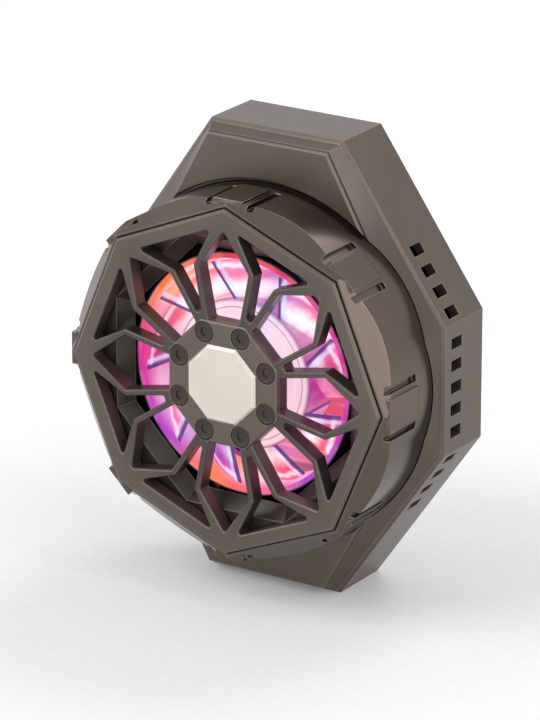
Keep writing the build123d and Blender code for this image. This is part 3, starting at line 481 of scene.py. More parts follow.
class LitFinish(Finish):
    """Clear plastic lit by the coloured lamps round the fan. The colour turns round the hub."""

    def hue(self, stops):
        """The colour at each place round the hub, from (share of a turn, colour) stops."""
        settings = {"stops": stops, "interpolation": "EASE"}
        return self.node("ShaderNodeValToRGB", settings, {0: self.turn()})

    def pale(self):
        """How white the light is at each place round the hub."""
        return self.vector("DOT_PRODUCT", self.hue(WHITENESS), (1 / 3, 1 / 3, 1 / 3), output="Value")

    def inside(self, radius, soft=0.3 * MM):
        """1 inside a radius, 0 outside it."""
        return self.spread(self.radius(), radius - soft, radius + soft, 1.0, 0.0)

    def shine(self, colour, strength):
        """Closes the finish with this glow, over clear, glossy plastic."""
        glow = self.toned(colour, strength)
        fine = self.noise(0.5 * MM)
        normal = self.bump(fine, 0.006 * MM, 0.4, 0.12 * MM)
        rough = self.vary(fine, 0.1, 0.2)
        base = self.mix(0.85, colour, UNLIT_PLASTIC)
        return self.close(
            base_color=base, roughness=rough, emission_color=glow, emission_strength=1.0, normal=normal,
        )


def behind_front_edge(plastic, hub_radius, tip_radius, blade_count):
    """How far a point on a blade lies behind the blade's front edge, in metres and as a share of the
    room for one blade, and how far out it lies, as a share of the blade's length."""
    radius = plastic.radius()
    root_radius = hub_radius - BLADE_ROOT_SINK
    share = (radius - root_radius) / (tip_radius - root_radius)
    root_reach = BLADE_ROOT_CHORD / 2 * math.cos(BLADE_ROOT_PITCH)
    tip_reach = BLADE_TIP_CHORD / 2 * math.cos(BLADE_TIP_PITCH) + BLADE_SWEEP
    front_edge = (share * (tip_reach - root_reach) + root_reach) / radius
    angle = plastic.z.math("ARCTAN2", plastic.x)
    step = math.tau / blade_count
    behind = (front_edge - angle).math("FLOORED_MODULO", step) * radius
    return behind, (behind / (step * radius)).clamped(), share


def lit_blades(name, strength, hub_radius, tip_radius, blade_count):
    """The impeller, with the lamps' light painted on it: a pale hub with painted shade lines at its edge
    and in its groove, and blades with a painted white highlight along their inner half, full colour
    darkened by painted shade further out, a painted dark violet shade line along their front edges and a
    painted pale blue glint behind."""
    plastic = LitFinish(name)
    hue = plastic.hue(GLOW)
    pale = plastic.pale()
    # Painted shade: the hue darkened by multiplying it with itself
    strong = plastic.mix(0.55, hue, plastic.mix(1.0, hue, hue, blend="MULTIPLY"))
    behind, across, share = behind_front_edge(plastic, hub_radius, tip_radius, blade_count)
    streaks = plastic.noise(1.6 * MM, detail=1.0, stretch=(1, 3, 1))
    wander = plastic.vary(streaks, -0.06, 0.06)
    # Painted shade: the darker hue towards the tips and further behind each front edge
    shade_band = plastic.bell(share + wander, 0.66, 0.26) * (1 - 0.4 * pale) + across * 0.4
    # Painted highlights: a white arc over the inner half of the blades, and a white arc near the tips
    # that turns gold at one place round the hub
    inner_highlight = plastic.bell(share + wander, 0.34, 0.38) * pale * (1.15 - across * 0.4)
    outer_highlight = plastic.bell(share + wander * 0.4, 0.86, 0.10) * (0.35 + 0.4 * pale)
    outer_light = plastic.mix(plastic.bell(plastic.turn(), 0.89, 0.07), WHITE, GOLD)
    glint = plastic.bell(behind, 1.25 * MM, 0.6 * MM)
    # Painted shade: a dark violet line along each blade's front edge
    outline = plastic.spread(behind, 0.55 * MM, 0.85 * MM, 1.0, 0.0)
    blade = plastic.mix(shade_band.clamped(), hue, strong)
    blade = plastic.mix(inner_highlight.clamped(), blade, WHITE)
    blade = plastic.mix(outer_highlight.clamped(), blade, outer_light)
    blade = plastic.mix(glint * 0.7, blade, PALE_BLUE)
    blade = plastic.mix(outline * 0.95, blade, VIOLET)
    # Painted shade: dark violet lines at the hub's edge and in its groove
    hub_edge_shade = plastic.bell(plastic.radius(), hub_radius, 0.75 * MM)
    groove_shade = plastic.bell(plastic.radius(), hub_radius - 1.4 * MM, 0.25 * MM) * 0.6
    cap = plastic.mix(0.55, hue, WHITE)
    cap = plastic.mix((hub_edge_shade + groove_shade).clamped(), cap, plastic.mix(0.85, hue, VIOLET))
    return plastic.shine(plastic.mix(plastic.inside(hub_radius), blade, cap), strength)


def lit_ring(name, strength, reach):
    """The ring round the blades: it glows as far out as the light reaches, and is dark glass beyond."""
    plastic = LitFinish(name)
    hue = plastic.hue(RIM_GLOW)
    bore = plastic.mix(plastic.pale() * 0.5, hue, WHITE)
    front = plastic.spread(plastic.y, RING_BORE_END, RING_FACE, 0.0, 1.0)
    lit = plastic.inside(reach, 0.1 * MM)
    colour = plastic.mix(lit, DARK_GLASS, plastic.mix(front, bore, hue))
    return plastic.shine(colour, lit * strength)


def lit_spill(name, strength, reach, base, roughness, metallic):
    """A piece under the fan, which takes the coloured light as far out as it reaches."""
    plastic = LitFinish(name)
    grain = plastic.noise(0.2 * MM, stretch=(20, 1, 1))
    glow = plastic.toned(plastic.hue(GLOW), plastic.inside(reach, 1.5 * MM) * strength)
    tone = plastic.toned(base, plastic.vary(grain, 0.88, 1.08))
    rough = plastic.vary(grain, roughness - 0.06, roughness + 0.08)
    normal = plastic.bump(grain, 0.004 * MM, 0.5, 0.1 * MM)
    return plastic.close(
        base_color=tone, metallic=metallic, roughness=rough,
        emission_color=glow, emission_strength=1.0, normal=normal,
    )


# Pieces


def new_object(name, data):
    """An object with this mesh, lamp or camera, in the scene."""
    thing = bpy.data.objects.new(name, data)
    bpy.context.scene.collection.objects.link(thing)
    return thing


def smooth_piece(name, mesh):
    """A mesh in the scene, smooth but for its sharp edges."""
    mesh.polygons.foreach_set("use_smooth", [True] * len(mesh.polygons))
    mesh.set_sharp_from_angle(angle=SHARP_ANGLE)
    return new_object(name, mesh)


def smooth_copy(node):
    """A welded, smooth-shaded copy of a CAD node."""
    name = node + "_finished"
    mesh = bpy.data.meshes.new(name)
    shape = bmesh.new()
    shape.from_mesh(frame["nodes"][node].data)
    bmesh.ops.remove_doubles(shape, verts=shape.verts, dist=MERGE_DISTANCE)
    shape.to_mesh(mesh)
    shape.free()
    if "custom_normal" in mesh.attributes:
        mesh.attributes.remove(mesh.attributes["custom_normal"])
    mesh.materials.clear()
    return smooth_piece(name, mesh)


def body_holding(node):
    """The moving body that a CAD node belongs to."""
    groups = frame["record"]["behaviour"]["bodies"]
    return next(body for body, nodes in groups.items() if node in nodes)


def stand_for(piece, node):
    """Puts a piece in the place of a CAD node, on its body."""
    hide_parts(node)
    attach(piece, body_holding(node))


def dress(nodes, material):
    """Smooth copies of CAD nodes in one finish, each riding on its own body."""
    for node in nodes:
        piece = smooth_copy(node)
        piece.data.materials.append(material)
        stand_for(piece, node)


def repaint(nodes, material):
    """A finish put straight on CAD nodes whose shape is right as it is."""
    for node in nodes:
        for slot in frame["nodes"][node].material_slots:
            slot.material = material


def new_mesh(name, shape):
    """Keeps a bmesh as an object's mesh, with its faces turned outwards."""
    bmesh.ops.recalc_face_normals(shape, faces=shape.faces)
    mesh = bpy.data.meshes.new(name)
    shape.to_mesh(mesh)
    shape.free()
    return bpy.data.objects.new(name, mesh)


def join_loops(shape, low, high):
    """Quads between two loops of the same number of corners."""
    for index, corner in enumerate(low):
        after = (index + 1) % len(low)
        shape.faces.new((corner, low[after], high[after], high[index]))


def ring_stack(name, rings, steps=36, closed=False):
    """A turned mesh from rings of (height, radius) in millimetres. A ring with a third number has that
    many sides. A closed stack goes back to its first ring, and the others get flat ends."""
    shape = bmesh.new()
    loops = []
    for height, radius, *sides in rings:
        loop = []
        for step in range(steps):
            angle = math.tau * step / steps
            reach = radius * MM
            if sides:
                part = math.tau / sides[0]
                reach = reach * math.cos(part / 2) / math.cos(angle % part - part / 2)
            loop.append(shape.verts.new((reach * math.cos(angle), reach * math.sin(angle), height * MM)))
        loops.append(loop)
    for low, high in zip(loops, loops[1:]):
        join_loops(shape, low, high)
    if closed:
        join_loops(shape, loops[-1], loops[0])
    else:
        shape.faces.new(reversed(loops[0]))
        shape.faces.new(loops[-1])
    return new_mesh(name, shape)


def swept_blade(name, root_radius, tip_radius, middle, stations=9, points=14):
    """One blade of the impeller, cambered, swept and round along its edges, wrapped round the hub."""
    shape = bmesh.new()
    loops = []
    for station in range(stations):
        share = station / (stations - 1)
        radius = root_radius + (tip_radius - root_radius) * share
        chord = BLADE_ROOT_CHORD + (BLADE_TIP_CHORD - BLADE_ROOT_CHORD) * share
        pitch = BLADE_ROOT_PITCH + (BLADE_TIP_PITCH - BLADE_ROOT_PITCH) * share
        skin = BLADE_TIP_SKIN if station == stations - 1 else BLADE_SKIN
        outline = []
        for step in range(2 * points):
            turn = math.tau * (step + 0.5) / (2 * points)
            place = math.cos(turn)
            side = 1 if math.sin(turn) > 0 else -1
            thick = side * skin * (1 - abs(place) ** BLADE_EDGE_POWER) ** 0.5
            outline.append((place * chord / 2, BLADE_CAMBER * (1 - place ** 2) + thick))
        loop = []
        for length, rise in outline:
            along = BLADE_SWEEP * share + length * math.cos(pitch) - rise * math.sin(pitch)
            height = middle + length * math.sin(pitch) + rise * math.cos(pitch)
            swing = along / radius
            loop.append(shape.verts.new((radius * math.cos(swing), radius * math.sin(swing), height)))
        loops.append(loop)
    for low, high in zip(loops, loops[1:]):
        join_loops(shape, low, high)
    for loop in (loops[0], loops[-1]):
        for step in range(points - 1):
            shape.faces.new((loop[step], loop[step + 1], loop[-step - 2], loop[-step - 1]))
    return new_mesh(name, shape)


def open_tree(name, floats, whole=()):
    """A geometry tree with named inputs, which come back as wires."""
    tree = bpy.data.node_groups.new(name, "GeometryNodeTree")
    tree.interface.new_socket("Geometry", in_out="INPUT", socket_type="NodeSocketGeometry")
    for label in floats:
        tree.interface.new_socket(label, in_out="INPUT", socket_type="NodeSocketFloat")
    for label in whole:
        tree.interface.new_socket(label, in_out="INPUT", socket_type="NodeSocketInt")
    tree.interface.new_socket("Geometry", in_out="OUTPUT", socket_type="NodeSocketGeometry")
    graph = Graph(tree)
    given = graph.node("NodeGroupInput").socket.node.outputs
    return graph, {label: Wire(graph, given[label]) for label in tuple(floats) + tuple(whole)}


def close_tree(graph, geometry, facing, material):
    """Turns geometry that lies flat to face the way it should, sets it on the hub and ends the tree."""
    turned = graph.node("ShaderNodeCombineXYZ", {}, {0: facing})
    sockets = {"Geometry": geometry, "Translation": HUB, "Rotation": turned}
    placed = graph.node("GeometryNodeTransform", {}, sockets)
    real = graph.node("GeometryNodeRealizeInstances", {}, {"Geometry": placed})
    painted = graph.node("GeometryNodeSetMaterial", {}, {"Geometry": real, "Material": material})
    graph.node("NodeGroupOutput", {}, {"Geometry": painted})
    return graph.tree


def instanced(graph, single):
    """One object's mesh, ready to be set out as copies."""
    sockets = {"Object": single, "As Instance": True}
    return graph.node("GeometryNodeObjectInfo", {}, sockets, output="Geometry")


def screws_tree(name, single, layout, material, seed):
    """Sets screws on a circle or at the corners of a rectangle, each driven home at its own angle."""
    floats = ("Place X", "Place Z", "Stand", "Start Angle", "Facing")
    graph, value = open_tree(name, floats, ("Count",))
    if layout == "CIRCLE":
        sockets = {"Vertices": value["Count"], "Radius": value["Place X"]}
        spots = graph.node("GeometryNodeMeshCircle", {}, sockets)
    else:
        sizes = {"Size X": value["Place X"] * 2, "Size Y": value["Place Z"] * 2}
        spots = graph.node("GeometryNodeMeshGrid", {}, {**sizes, "Vertices X": 2, "Vertices Y": 2})
    sockets = {2: 0.0, 3: math.tau, "Seed": seed}
    spin = graph.node("FunctionNodeRandomValue", {"data_type": "FLOAT"}, sockets, output=1)
    turned = graph.node("ShaderNodeCombineXYZ", {}, {2: spin})
    sockets = {"Points": spots, "Instance": instanced(graph, single), "Rotation": turned}
    set_out = graph.node("GeometryNodeInstanceOnPoints", {}, sockets)
    lift = graph.node("ShaderNodeCombineXYZ", {}, {2: value["Stand"]})
    swing = graph.node("ShaderNodeCombineXYZ", {}, {2: value["Start Angle"]})
    sockets = {"Geometry": set_out, "Translation": lift, "Rotation": swing}
    lifted = graph.node("GeometryNodeTransform", {}, sockets)
    return close_tree(graph, lifted, value["Facing"], material)


def impeller_tree(name, hub, blade, material):
    """Sets a blade round the hub as many times as asked, evenly, and joins them to the hub."""
    graph, value = open_tree(name, ("Start Angle", "Facing"), ("Blades",))
    sockets = {"Count": value["Blades"], "Offset": (0, 0, 0)}
    spots = graph.node("GeometryNodeMeshLine", {"mode": "OFFSET"}, sockets)
    index = graph.node("GeometryNodeInputIndex")
    angle = index * math.tau / value["Blades"] + value["Start Angle"]
    swing = graph.node("ShaderNodeCombineXYZ", {}, {2: angle})
    sockets = {"Points": spots, "Instance": instanced(graph, blade), "Rotation": swing}
    blades = graph.node("GeometryNodeInstanceOnPoints", {}, sockets)
    joined = graph.node("GeometryNodeJoinGeometry", {}, {"Geometry": [blades, instanced(graph, hub)]})
    return close_tree(graph, joined, value["Facing"], material)


def grown(name, tree, values, node):
    """Runs a tree with these inputs and keeps its result as a plain mesh that stands for a CAD node."""
    carrier = new_object(name + "_carrier", bpy.data.meshes.new(name + "_carrier"))
    modifier = carrier.modifiers.new("tree", "NODES")
    modifier.node_group = tree
    for item in tree.interface.items_tree:
        if item.in_out == "INPUT" and item.name in values:
            modifier[item.identifier] = values[item.name]
    bpy.context.view_layer.update()
    graph = bpy.context.evaluated_depsgraph_get()
    mesh = bpy.data.meshes.new_from_object(carrier.evaluated_get(graph))
    mesh.name = name
    bpy.data.objects.remove(carrier)
    stand_for(smooth_piece(name, mesh), node)


def front_stand(node):
    """How far a node's front reaches, measured from the middle of the fan's depth towards the front."""
    return -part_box(node)[0][1]


def background_rays(graph):
    """1 for the rays that see the white background: the camera's, and those in gloss and glass."""
    rays = graph.node("ShaderNodeLightPath").socket.node.outputs
    seen = Wire(graph, rays["Is Camera Ray"])
    for ray in ("Is Glossy Ray", "Is Transmission Ray"):
        seen = seen.math("MAXIMUM", Wire(graph, rays[ray]))
    return seen


# Settings


class FanPaintSettings(bpy.types.PropertyGroup):
    """Colours of the painted and bare metal pieces."""

    shell: bpy.props.FloatVectorProperty(
        name="Shell", description="Paint on the long octagon body", subtype="COLOR", size=4,
        min=0, max=1, default=linear(92, 82, 74),
    )
    wings: bpy.props.FloatVectorProperty(
        name="Wings", description="Paint on the two raised end panels", subtype="COLOR", size=4,
        min=0, max=1, default=linear(98, 89, 80),
    )
    drum: bpy.props.FloatVectorProperty(
        name="Drum", description="Paint on the round turret", subtype="COLOR", size=4,
        min=0, max=1, default=linear(92, 82, 74),
    )
    grille: bpy.props.FloatVectorProperty(
        name="Grille", description="Paint on the eight-sided web", subtype="COLOR", size=4,
        min=0, max=1, default=linear(94, 86, 79),
    )
    badge: bpy.props.FloatVectorProperty(
        name="Badge", description="Champagne metal of the bare badge", subtype="COLOR", size=4,
        min=0, max=1, default=linear(222, 211, 200),
    )
    roughness: bpy.props.FloatProperty(
        name="Paint roughness", description="How satin the paint is", subtype="FACTOR",
        min=0.1, max=0.9, default=0.36,
    )


class FanGlowSettings(bpy.types.PropertyGroup):
    """How strongly the clear pieces are lit."""

    impeller: bpy.props.FloatProperty(
        name="Impeller glow", description="Light given off by the blades",
        min=0, max=5, default=1.05,
    )
    spill: bpy.props.FloatProperty(
        name="Spill", description="Coloured light on the frame and the fins under the blades",
        min=0, max=5, default=0.45,
    )
    ring: bpy.props.FloatProperty(
        name="Ring glow", description="Light given off by the ring round the blades",
        min=0, max=5, default=1.0,
    )


class FanStudioSettings(bpy.types.PropertyGroup):
    """Camera and light."""

    distance: bpy.props.FloatProperty(
        name="Camera distance", description="From the camera to the middle of the fan", unit="LENGTH",
        default=0.73,
    )
    azimuth: bpy.props.FloatProperty(
        name="Camera azimuth", description="Turn of the camera to the fan's right side", subtype="ANGLE",
        default=math.radians(32.9),
    )
    elevation: bpy.props.FloatProperty(
        name="Camera elevation", description="Height of the camera over the fan", subtype="ANGLE",
        default=math.radians(19.5),
    )
    lens: bpy.props.FloatProperty(
        name="Lens", description="Focal length in millimetres on the long side of a 36 mm frame",
        min=10, default=235.0,
    )
    key: bpy.props.FloatProperty(
        name="Key light", description="Power of the large softbox, in watts",
        min=0, default=5.0,
    )


# Operators


class FAN_OT_shell(bpy.types.Operator):
    """Paints the long octagon body and the two wing panels."""

    bl_idname = "cooling_fan.shell"
    bl_label = "Shell and wings"

    def execute(self, context):
        paint = context.scene.fan_paint
        shell = painted_shell("bronze_paint", tuple(paint.shell), paint.roughness)
        wings = painted_shell("taupe_paint", tuple(paint.wings), paint.roughness + 0.03)
        dress(["base_housing"], shell)
        dress(["wing_panel_top", "wing_panel_bottom"], wings)
        return {"FINISHED"}


class FAN_OT_drum(bpy.types.Operator):
    """Paints the round turret with its lugs, notches and sloping facets."""

    bl_idname = "cooling_fan.drum"
    bl_label = "Drum"

    def execute(self, context):
        paint = context.scene.fan_paint
        drum = painted_shell(
            "drum_paint", tuple(paint.drum), paint.roughness - 0.15,
            metallic=0.9, depth=0.003 * MM, rounding=0.3 * MM,
        )
        dress(["drum_housing"], drum)
        return {"FINISHED"}


class FAN_OT_grille(bpy.types.Operator):
    """Paints the web of spokes and the hub plate."""

    bl_idname = "cooling_fan.grille"
    bl_label = "Grille and hub plate"

    def execute(self, context):
        paint = context.scene.fan_paint
        grille = painted_shell(
            "grille_paint", tuple(paint.grille), paint.roughness, rounding=0.18 * MM, dark_web=True,
        )
        dress(["front_grille"], grille)
        plate = painted_shell("hub_plate_paint", tuple(paint.wings), paint.roughness, rounding=0.18 * MM)
        dress(["hub_plate"], plate)
        return {"FINISHED"}


class FAN_OT_badge(bpy.types.Operator):
    """Finishes the bare champagne badge."""

    bl_idname = "cooling_fan.badge"
    bl_label = "Badge"

    def execute(self, context):
        badge = tuple(context.scene.fan_paint.badge)
        dress(["hub_badge"], satin_metal("champagne_badge", badge, 0.32, metallic=0.7))
        return {"FINISHED"}


class FAN_OT_screws(bpy.types.Operator):
    """Sets the eight hub screws and the four case screws, and finishes the hidden ones."""

    bl_idname = "cooling_fan.screws"
    bl_label = "Screws"

    hub_head: bpy.props.FloatProperty(
        name="Hub screw head", description="Radius of a hub screw's head", unit="LENGTH",
        default=1.7 * MM,
    )
    case_head: bpy.props.FloatProperty(
        name="Case screw head", description="Radius of a case screw's head", unit="LENGTH",
        default=1.9 * MM,
    )

    def execute(self, context):
        black = brushed_metal("black_oxide", linear(72, 66, 60), 0.3, metallic=0.85)
        zinc = brushed_metal("zinc_plate", linear(160, 160, 164), 0.3)
        dark = brushed_metal("dark_steel", linear(112, 110, 108), 0.34)
        self.add_hub_screws(black)
        self.add_case_screws(dark)
        repaint(["drum_screws", "fan_screws", "heatsink_screws"], zinc)
        return {"FINISHED"}

    def add_hub_screws(self, material):
        """Low heads with a turned rim, a dished face and a six-sided recess."""
        head = self.hub_head / MM
        single = ring_stack("hub_screw", [
            (-2.2, 0.60),
            (-0.45, 0.66),
            (-0.45, head - 0.06),
            (-0.12, head),
            (-0.03, head - 0.05),
            (0.0, head - 0.14),
            (0.0, head - 0.36),
            (-0.10, head - 0.46),
            (-0.12, 0.86, 6),
            (-0.16, 0.80, 6),
            (-0.36, 0.76, 6),
        ])
        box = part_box("hub_screws")
        place = (box[1][0] - box[0][0]) / 2 - self.hub_head
        tree = screws_tree("hub_screws_tree", single, "CIRCLE", material, seed=4)
        values = {
            "Place X": place / math.cos(math.pi / SIDES), "Stand": front_stand("hub_screws"),
            "Start Angle": math.pi / SIDES, "Facing": math.pi / 2, "Count": SIDES,
        }
        grown("hub_screws_set", tree, values, "hub_screws")

    def add_case_screws(self, material):
        """Countersunk heads, flush with the cover, with a six-sided recess."""
        head = self.case_head / MM
        single = ring_stack("case_screw", [
            (-7.5, 0.70),
            (-1.0, 0.94),
            (-0.04, head - 0.02),
            (0.0, head - 0.08),
            (0.0, head - 0.34),
            (-0.08, head - 0.40),
            (-0.08, 1.18, 6),
            (-0.20, 1.08, 6),
            (-0.95, 1.04, 6),
        ])
        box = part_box("case_screws")
        tree = screws_tree("case_screws_tree", single, "GRID", material, seed=9)
        values = {
            "Place X": (box[1][0] - box[0][0]) / 2 - self.case_head,
            "Place Z": (box[1][2] - box[0][2]) / 2 - self.case_head,
            "Stand": box[1][1], "Start Angle": 0.0, "Facing": -math.pi / 2,
        }
        grown("case_screws_set", tree, values, "case_screws")


class FAN_OT_duct(bpy.types.Operator):
    """Finishes the deck under the grille, and the ring and frame that carry the light."""

    bl_idname = "cooling_fan.duct"
    bl_label = "Deck, light ring and frame"

    def execute(self, context):
        glow = context.scene.fan_glow
        # The deck's edges take a strong painted highlight
        deck = painted_shell("deck_paint", linear(60, 54, 48), 0.42, metallic=0.3, highlight_strength=0.9)
        ring = lit_ring("lit_ring", glow.ring, RING_REACH)
        carrier = lit_spill("lit_frame", glow.spill, FRAME_REACH, linear(150, 130, 150), 0.3, 0.0)
        dress(["air_deck"], deck)
        dress(["light_guide"], ring)
        dress(["fan_frame"], carrier)
        return {"FINISHED"}


class FAN_OT_impeller(bpy.types.Operator):
    """Makes the clear, lit impeller, and finishes the rotor inside its hub."""

    bl_idname = "cooling_fan.impeller"
    bl_label = "Impeller"

    blade_count: bpy.props.IntProperty(
        name="Blades", description="Number of blades round the hub",
        min=3, max=15, default=9,
    )
    hub_radius: bpy.props.FloatProperty(
        name="Hub radius", description="Outer radius of the hub cup", unit="LENGTH",
        default=12.17 * MM,
    )
    hub_wall: bpy.props.FloatProperty(
        name="Hub wall", description="Wall of the hub cup", unit="LENGTH",
        default=1.05 * MM,
    )

    def execute(self, context):
        low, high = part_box("impeller")
        back, front = -high[1], -low[1]
        tip = max(high[0], high[2] - HUB_HEIGHT)
        middle = back + BLADE_LIFT + BLADE_ROOT_CHORD * math.sin(BLADE_ROOT_PITCH) / 2
        blade = swept_blade("impeller_blade", self.hub_radius - BLADE_ROOT_SINK, tip, middle)
        hub = self.turned_hub(back, front)
        glow = context.scene.fan_glow.impeller
        finish = lit_blades("lit_blades", glow, self.hub_radius, tip, self.blade_count)
        tree = impeller_tree("impeller_tree", hub, blade, finish)
        values = {"Start Angle": 0.0, "Facing": math.pi / 2, "Blades": self.blade_count}
        grown("impeller_set", tree, values, "impeller")
        steel = brushed_metal("ground_steel", linear(196, 196, 200), 0.25, stretch=(1, 8, 1))
        plastic = moulded_plastic("natural_plastic", linear(226, 224, 214), 0.4)
        repaint(["shaft", "rotor_yoke"], steel)
        repaint(["rotor_magnet"], moulded_plastic("ferrite", linear(84, 84, 88), 0.5))
        repaint(["shaft_clip", "thrust_pad"], plastic)
        return {"FINISHED"}

    def turned_hub(self, back, front):
        """A cup with a rounded rim, a ring groove and a dished front, bored for the shaft."""
        back, front = back / MM, front / MM
        outer = self.hub_radius / MM
        inner = outer - self.hub_wall / MM
        head = front - 1.2
        return ring_stack("impeller_hub", [
            (head - 0.65, 1.02),
            (head - 0.65, 2.4),
            (head, 2.4),
            (head, inner),
            (back, inner),
            (back, outer - 0.2),
            (back + 0.2, outer),
            (front - 0.6, outer),
            (front - 0.3, outer - 0.08),
            (front - 0.1, outer - 0.3),
            (front, outer - 0.6),
            (front, outer - 1.2),
            (front - 0.15, outer - 1.3),
            (front - 0.15, outer - 1.55),
            (front, outer - 1.65),
            (front, outer - 2.4),
            (front - 0.3, outer - 2.9),
            (front - 0.3, 3.4),
            (front, 3.0),
            (front, 1.02),
        ], steps=72, closed=True)


class FAN_OT_contact(bpy.types.Operator):
    """Finishes the side that touches the phone: cover, cold plate, soft ring and magnets."""

    bl_idname = "cooling_fan.contact"
    bl_label = "Contact side"

    def execute(self, context):
        cover = moulded_plastic("cover_plastic", linear(46, 44, 43), 0.5, texture=0.25 * MM)
        dress(["back_cover"], cover)
        dress(["cold_plate"], turned_metal("cold_plate_metal", linear(206, 208, 212), 0.28))
        dress(["contact_ring"], soft_rubber("contact_silicone", linear(74, 73, 74), 0.62))
        nickel = brushed_metal("nickel_plate", linear(206, 203, 196), 0.18)
        repaint(["magnet_segments", "magnet_yoke"], nickel)
        return {"FINISHED"}


class FAN_OT_cooling(bpy.types.Operator):
    """Finishes the heatsink, the thermoelectric module and its gasket."""

    bl_idname = "cooling_fan.cooling"
    bl_label = "Heatsink and module"

    def execute(self, context):
        glow = context.scene.fan_glow
        fins = lit_spill("fin_aluminium", glow.spill, FINS_REACH, linear(190, 192, 198), 0.34, 0.9)
        dress(["heatsink"], fins)
        ceramic = moulded_plastic("white_ceramic", linear(236, 235, 228), 0.4, texture=0.12 * MM)
        repaint(["hot_ceramic", "cold_ceramic"], ceramic)
        repaint(["pellets"], brushed_metal("pellet_metal", linear(120, 120, 128), 0.4))
        repaint(["module_leads"], soft_rubber("lead_silicone", linear(160, 30, 28), 0.5))
        repaint(["insulating_gasket"], soft_rubber("gasket_foam", linear(52, 52, 54), 0.8))
        return {"FINISHED"}


class FAN_OT_electronics(bpy.types.Operator):
    """Finishes the boards, the LEDs, the motor's stator and the socket."""

    bl_idname = "cooling_fan.electronics"
    bl_label = "Boards and socket"

    def execute(self, context):
        green = circuit_board("green_board", linear(24, 84, 52), linear(60, 120, 70))
        core = brushed_metal("core_laminations", linear(140, 138, 134), 0.4, stretch=(4, 0.3, 4))
        coils = brushed_metal("enamelled_copper", linear(196, 116, 66), 0.3, stretch=(1, 1, 4))
        socket = brushed_metal("socket_steel", linear(200, 200, 204), 0.22, stretch=(1, 1, 6))
        tongue = moulded_plastic("tongue_black", linear(34, 34, 36), 0.35, texture=0.1 * MM)
        repaint(["main_board", "motor_board"], green)
        repaint(["light_board"], circuit_board("black_board", linear(28, 30, 30), linear(58, 60, 60)))
        repaint(["leds"], lit_ring("led_lens", LED_GLOW, LEDS_REACH))
        repaint(["board_components"], moulded_plastic("component_black", linear(54, 54, 56), 0.4))
        repaint(["stator_core"], core)
        repaint(["stator_coils"], coils)
        repaint(["bearing_bush"], brushed_metal("sintered_bronze", linear(176, 140, 88), 0.5))
        dress(["usb_socket"], socket)
        dress(["usb_tongue"], tongue)
        return {"FINISHED"}


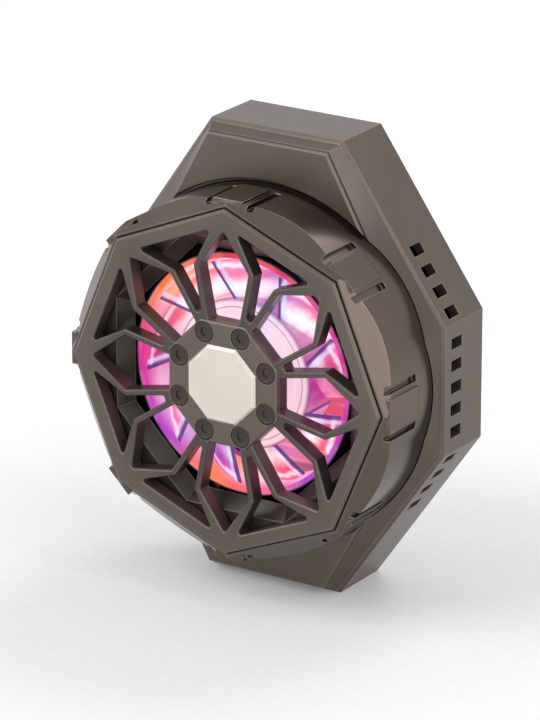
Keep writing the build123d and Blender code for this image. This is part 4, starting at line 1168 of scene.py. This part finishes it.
class FAN_OT_studio(bpy.types.Operator):
    """Sets up the floor, the soft lights, the world and the camera."""

    bl_idname = "cooling_fan.studio"
    bl_label = "Studio"

    def execute(self, context):
        settings = context.scene.fan_studio
        self.add_floor()
        self.add_world(context.scene)
        target = Vector(HUB)
        for name, offset, width, height, share in SOFTBOXES:
            self.add_light(name, target, offset, width, height, settings.key * share)
        self.add_camera(context.scene, settings, target)
        return {"FINISHED"}

    def add_floor(self):
        """White paper, which is left dark near the object so that its shadow shows."""
        half = FLOOR_HALF
        corners = [(-half, -half, 0), (half, -half, 0), (half, half, 0), (-half, half, 0)]
        mesh = bpy.data.meshes.new("studio_floor")
        mesh.from_pydata(corners, [], [(0, 1, 2, 3)])
        floor = new_object("studio_floor", mesh)
        paper = Finish("studio_paper")
        fibres = paper.noise(1.5 * MM, detail=2.0)
        seen = background_rays(paper)
        away = (paper.x * paper.x + paper.y * paper.y).math("SQRT")
        far = paper.spread(away, SHADOW_FROM, SHADOW_TO, SHADOW_WHITE, 1.0)
        colour = paper.grey(paper.vary(fibres, 0.86, 0.89))
        mesh.materials.append(paper.close(
            base_color=paper.mix(far * far * seen, colour, BLACK), roughness=0.9, specular_ior_level=0.1,
            emission_color=paper.grey(far * seen), emission_strength=1.0,
        ))

    def add_world(self, scene):
        """White behind the object, and a softer light than that on it."""
        world = bpy.data.worlds.new("studio_world")
        world.use_nodes = True
        graph = Graph(world.node_tree)
        seen = background_rays(graph)
        soft = graph.node("ShaderNodeBackground", {}, {"Color": SKY, "Strength": SKY_STRENGTH})
        plain = graph.node("ShaderNodeBackground", {}, {"Color": (1.0, 1.0, 1.0, 1.0), "Strength": 1.0})
        blend = graph.node("ShaderNodeMixShader", {}, {0: seen, 1: soft, 2: plain})
        graph.node("ShaderNodeOutputWorld", {}, {"Surface": blend})
        scene.world = world

    def add_light(self, name, target, offset, width, height, power):
        """A softbox that faces the middle of the fan."""
        lamp = bpy.data.lights.new(name, "AREA")
        lamp.shape = "RECTANGLE"
        lamp.size = width
        lamp.size_y = height
        lamp.energy = power
        light = new_object(name, lamp)
        light.location = target + Vector(offset)
        light.rotation_euler = (target - light.location).to_track_quat("-Z", "Y").to_euler()

    def add_camera(self, scene, settings, target):
        """The camera, at the photograph's angle."""
        camera = bpy.data.cameras.new("studio_camera")
        camera.lens = settings.lens
        camera.sensor_width = SENSOR_MM
        camera.sensor_fit = "AUTO"
        camera.clip_start = 0.01
        level = math.cos(settings.elevation) * settings.distance
        offset = Vector((
            math.sin(settings.azimuth) * level,
            -math.cos(settings.azimuth) * level,
            math.sin(settings.elevation) * settings.distance,
        ))
        viewer = new_object("studio_camera", camera)
        viewer.location = target + offset
        viewer.rotation_euler = (-offset).to_track_quat("-Z", "Y").to_euler()
        scene.camera = viewer
        scene.view_settings.view_transform = "Standard"


class FAN_PT_panel(bpy.types.Panel):
    """Shows the settings and the operator buttons of the cooling fan in the sidebar."""

    bl_label = "Cooling Fan"
    bl_idname = "FAN_PT_panel"
    bl_space_type = "VIEW_3D"
    bl_region_type = "UI"
    bl_category = "Cooling Fan"

    def draw(self, context):
        for group in (context.scene.fan_paint, context.scene.fan_glow, context.scene.fan_studio):
            for name in group.bl_rna.properties.keys():
                if name not in ("rna_type", "name"):
                    self.layout.prop(group, name)
        for operator in OPERATORS:
            self.layout.operator(operator.bl_idname)


SETTINGS = {"fan_paint": FanPaintSettings, "fan_glow": FanGlowSettings, "fan_studio": FanStudioSettings}
OPERATORS = (
    FAN_OT_shell, FAN_OT_drum, FAN_OT_grille, FAN_OT_badge, FAN_OT_screws, FAN_OT_duct,
    FAN_OT_impeller, FAN_OT_contact, FAN_OT_cooling, FAN_OT_electronics, FAN_OT_studio,
)


def register():
    for item in tuple(SETTINGS.values()) + OPERATORS + (FAN_PT_panel,):
        bpy.utils.register_class(item)
    for name, group in SETTINGS.items():
        setattr(bpy.types.Scene, name, bpy.props.PointerProperty(type=group))


def unregister():
    for name in SETTINGS:
        delattr(bpy.types.Scene, name)
    for item in reversed(tuple(SETTINGS.values()) + OPERATORS + (FAN_PT_panel,)):
        bpy.utils.unregister_class(item)


def main():
    register()
    for operator in OPERATORS:
        group, name = operator.bl_idname.split(".")
        getattr(getattr(bpy.ops, group), name)()


if __name__ == "__main__":
    main()
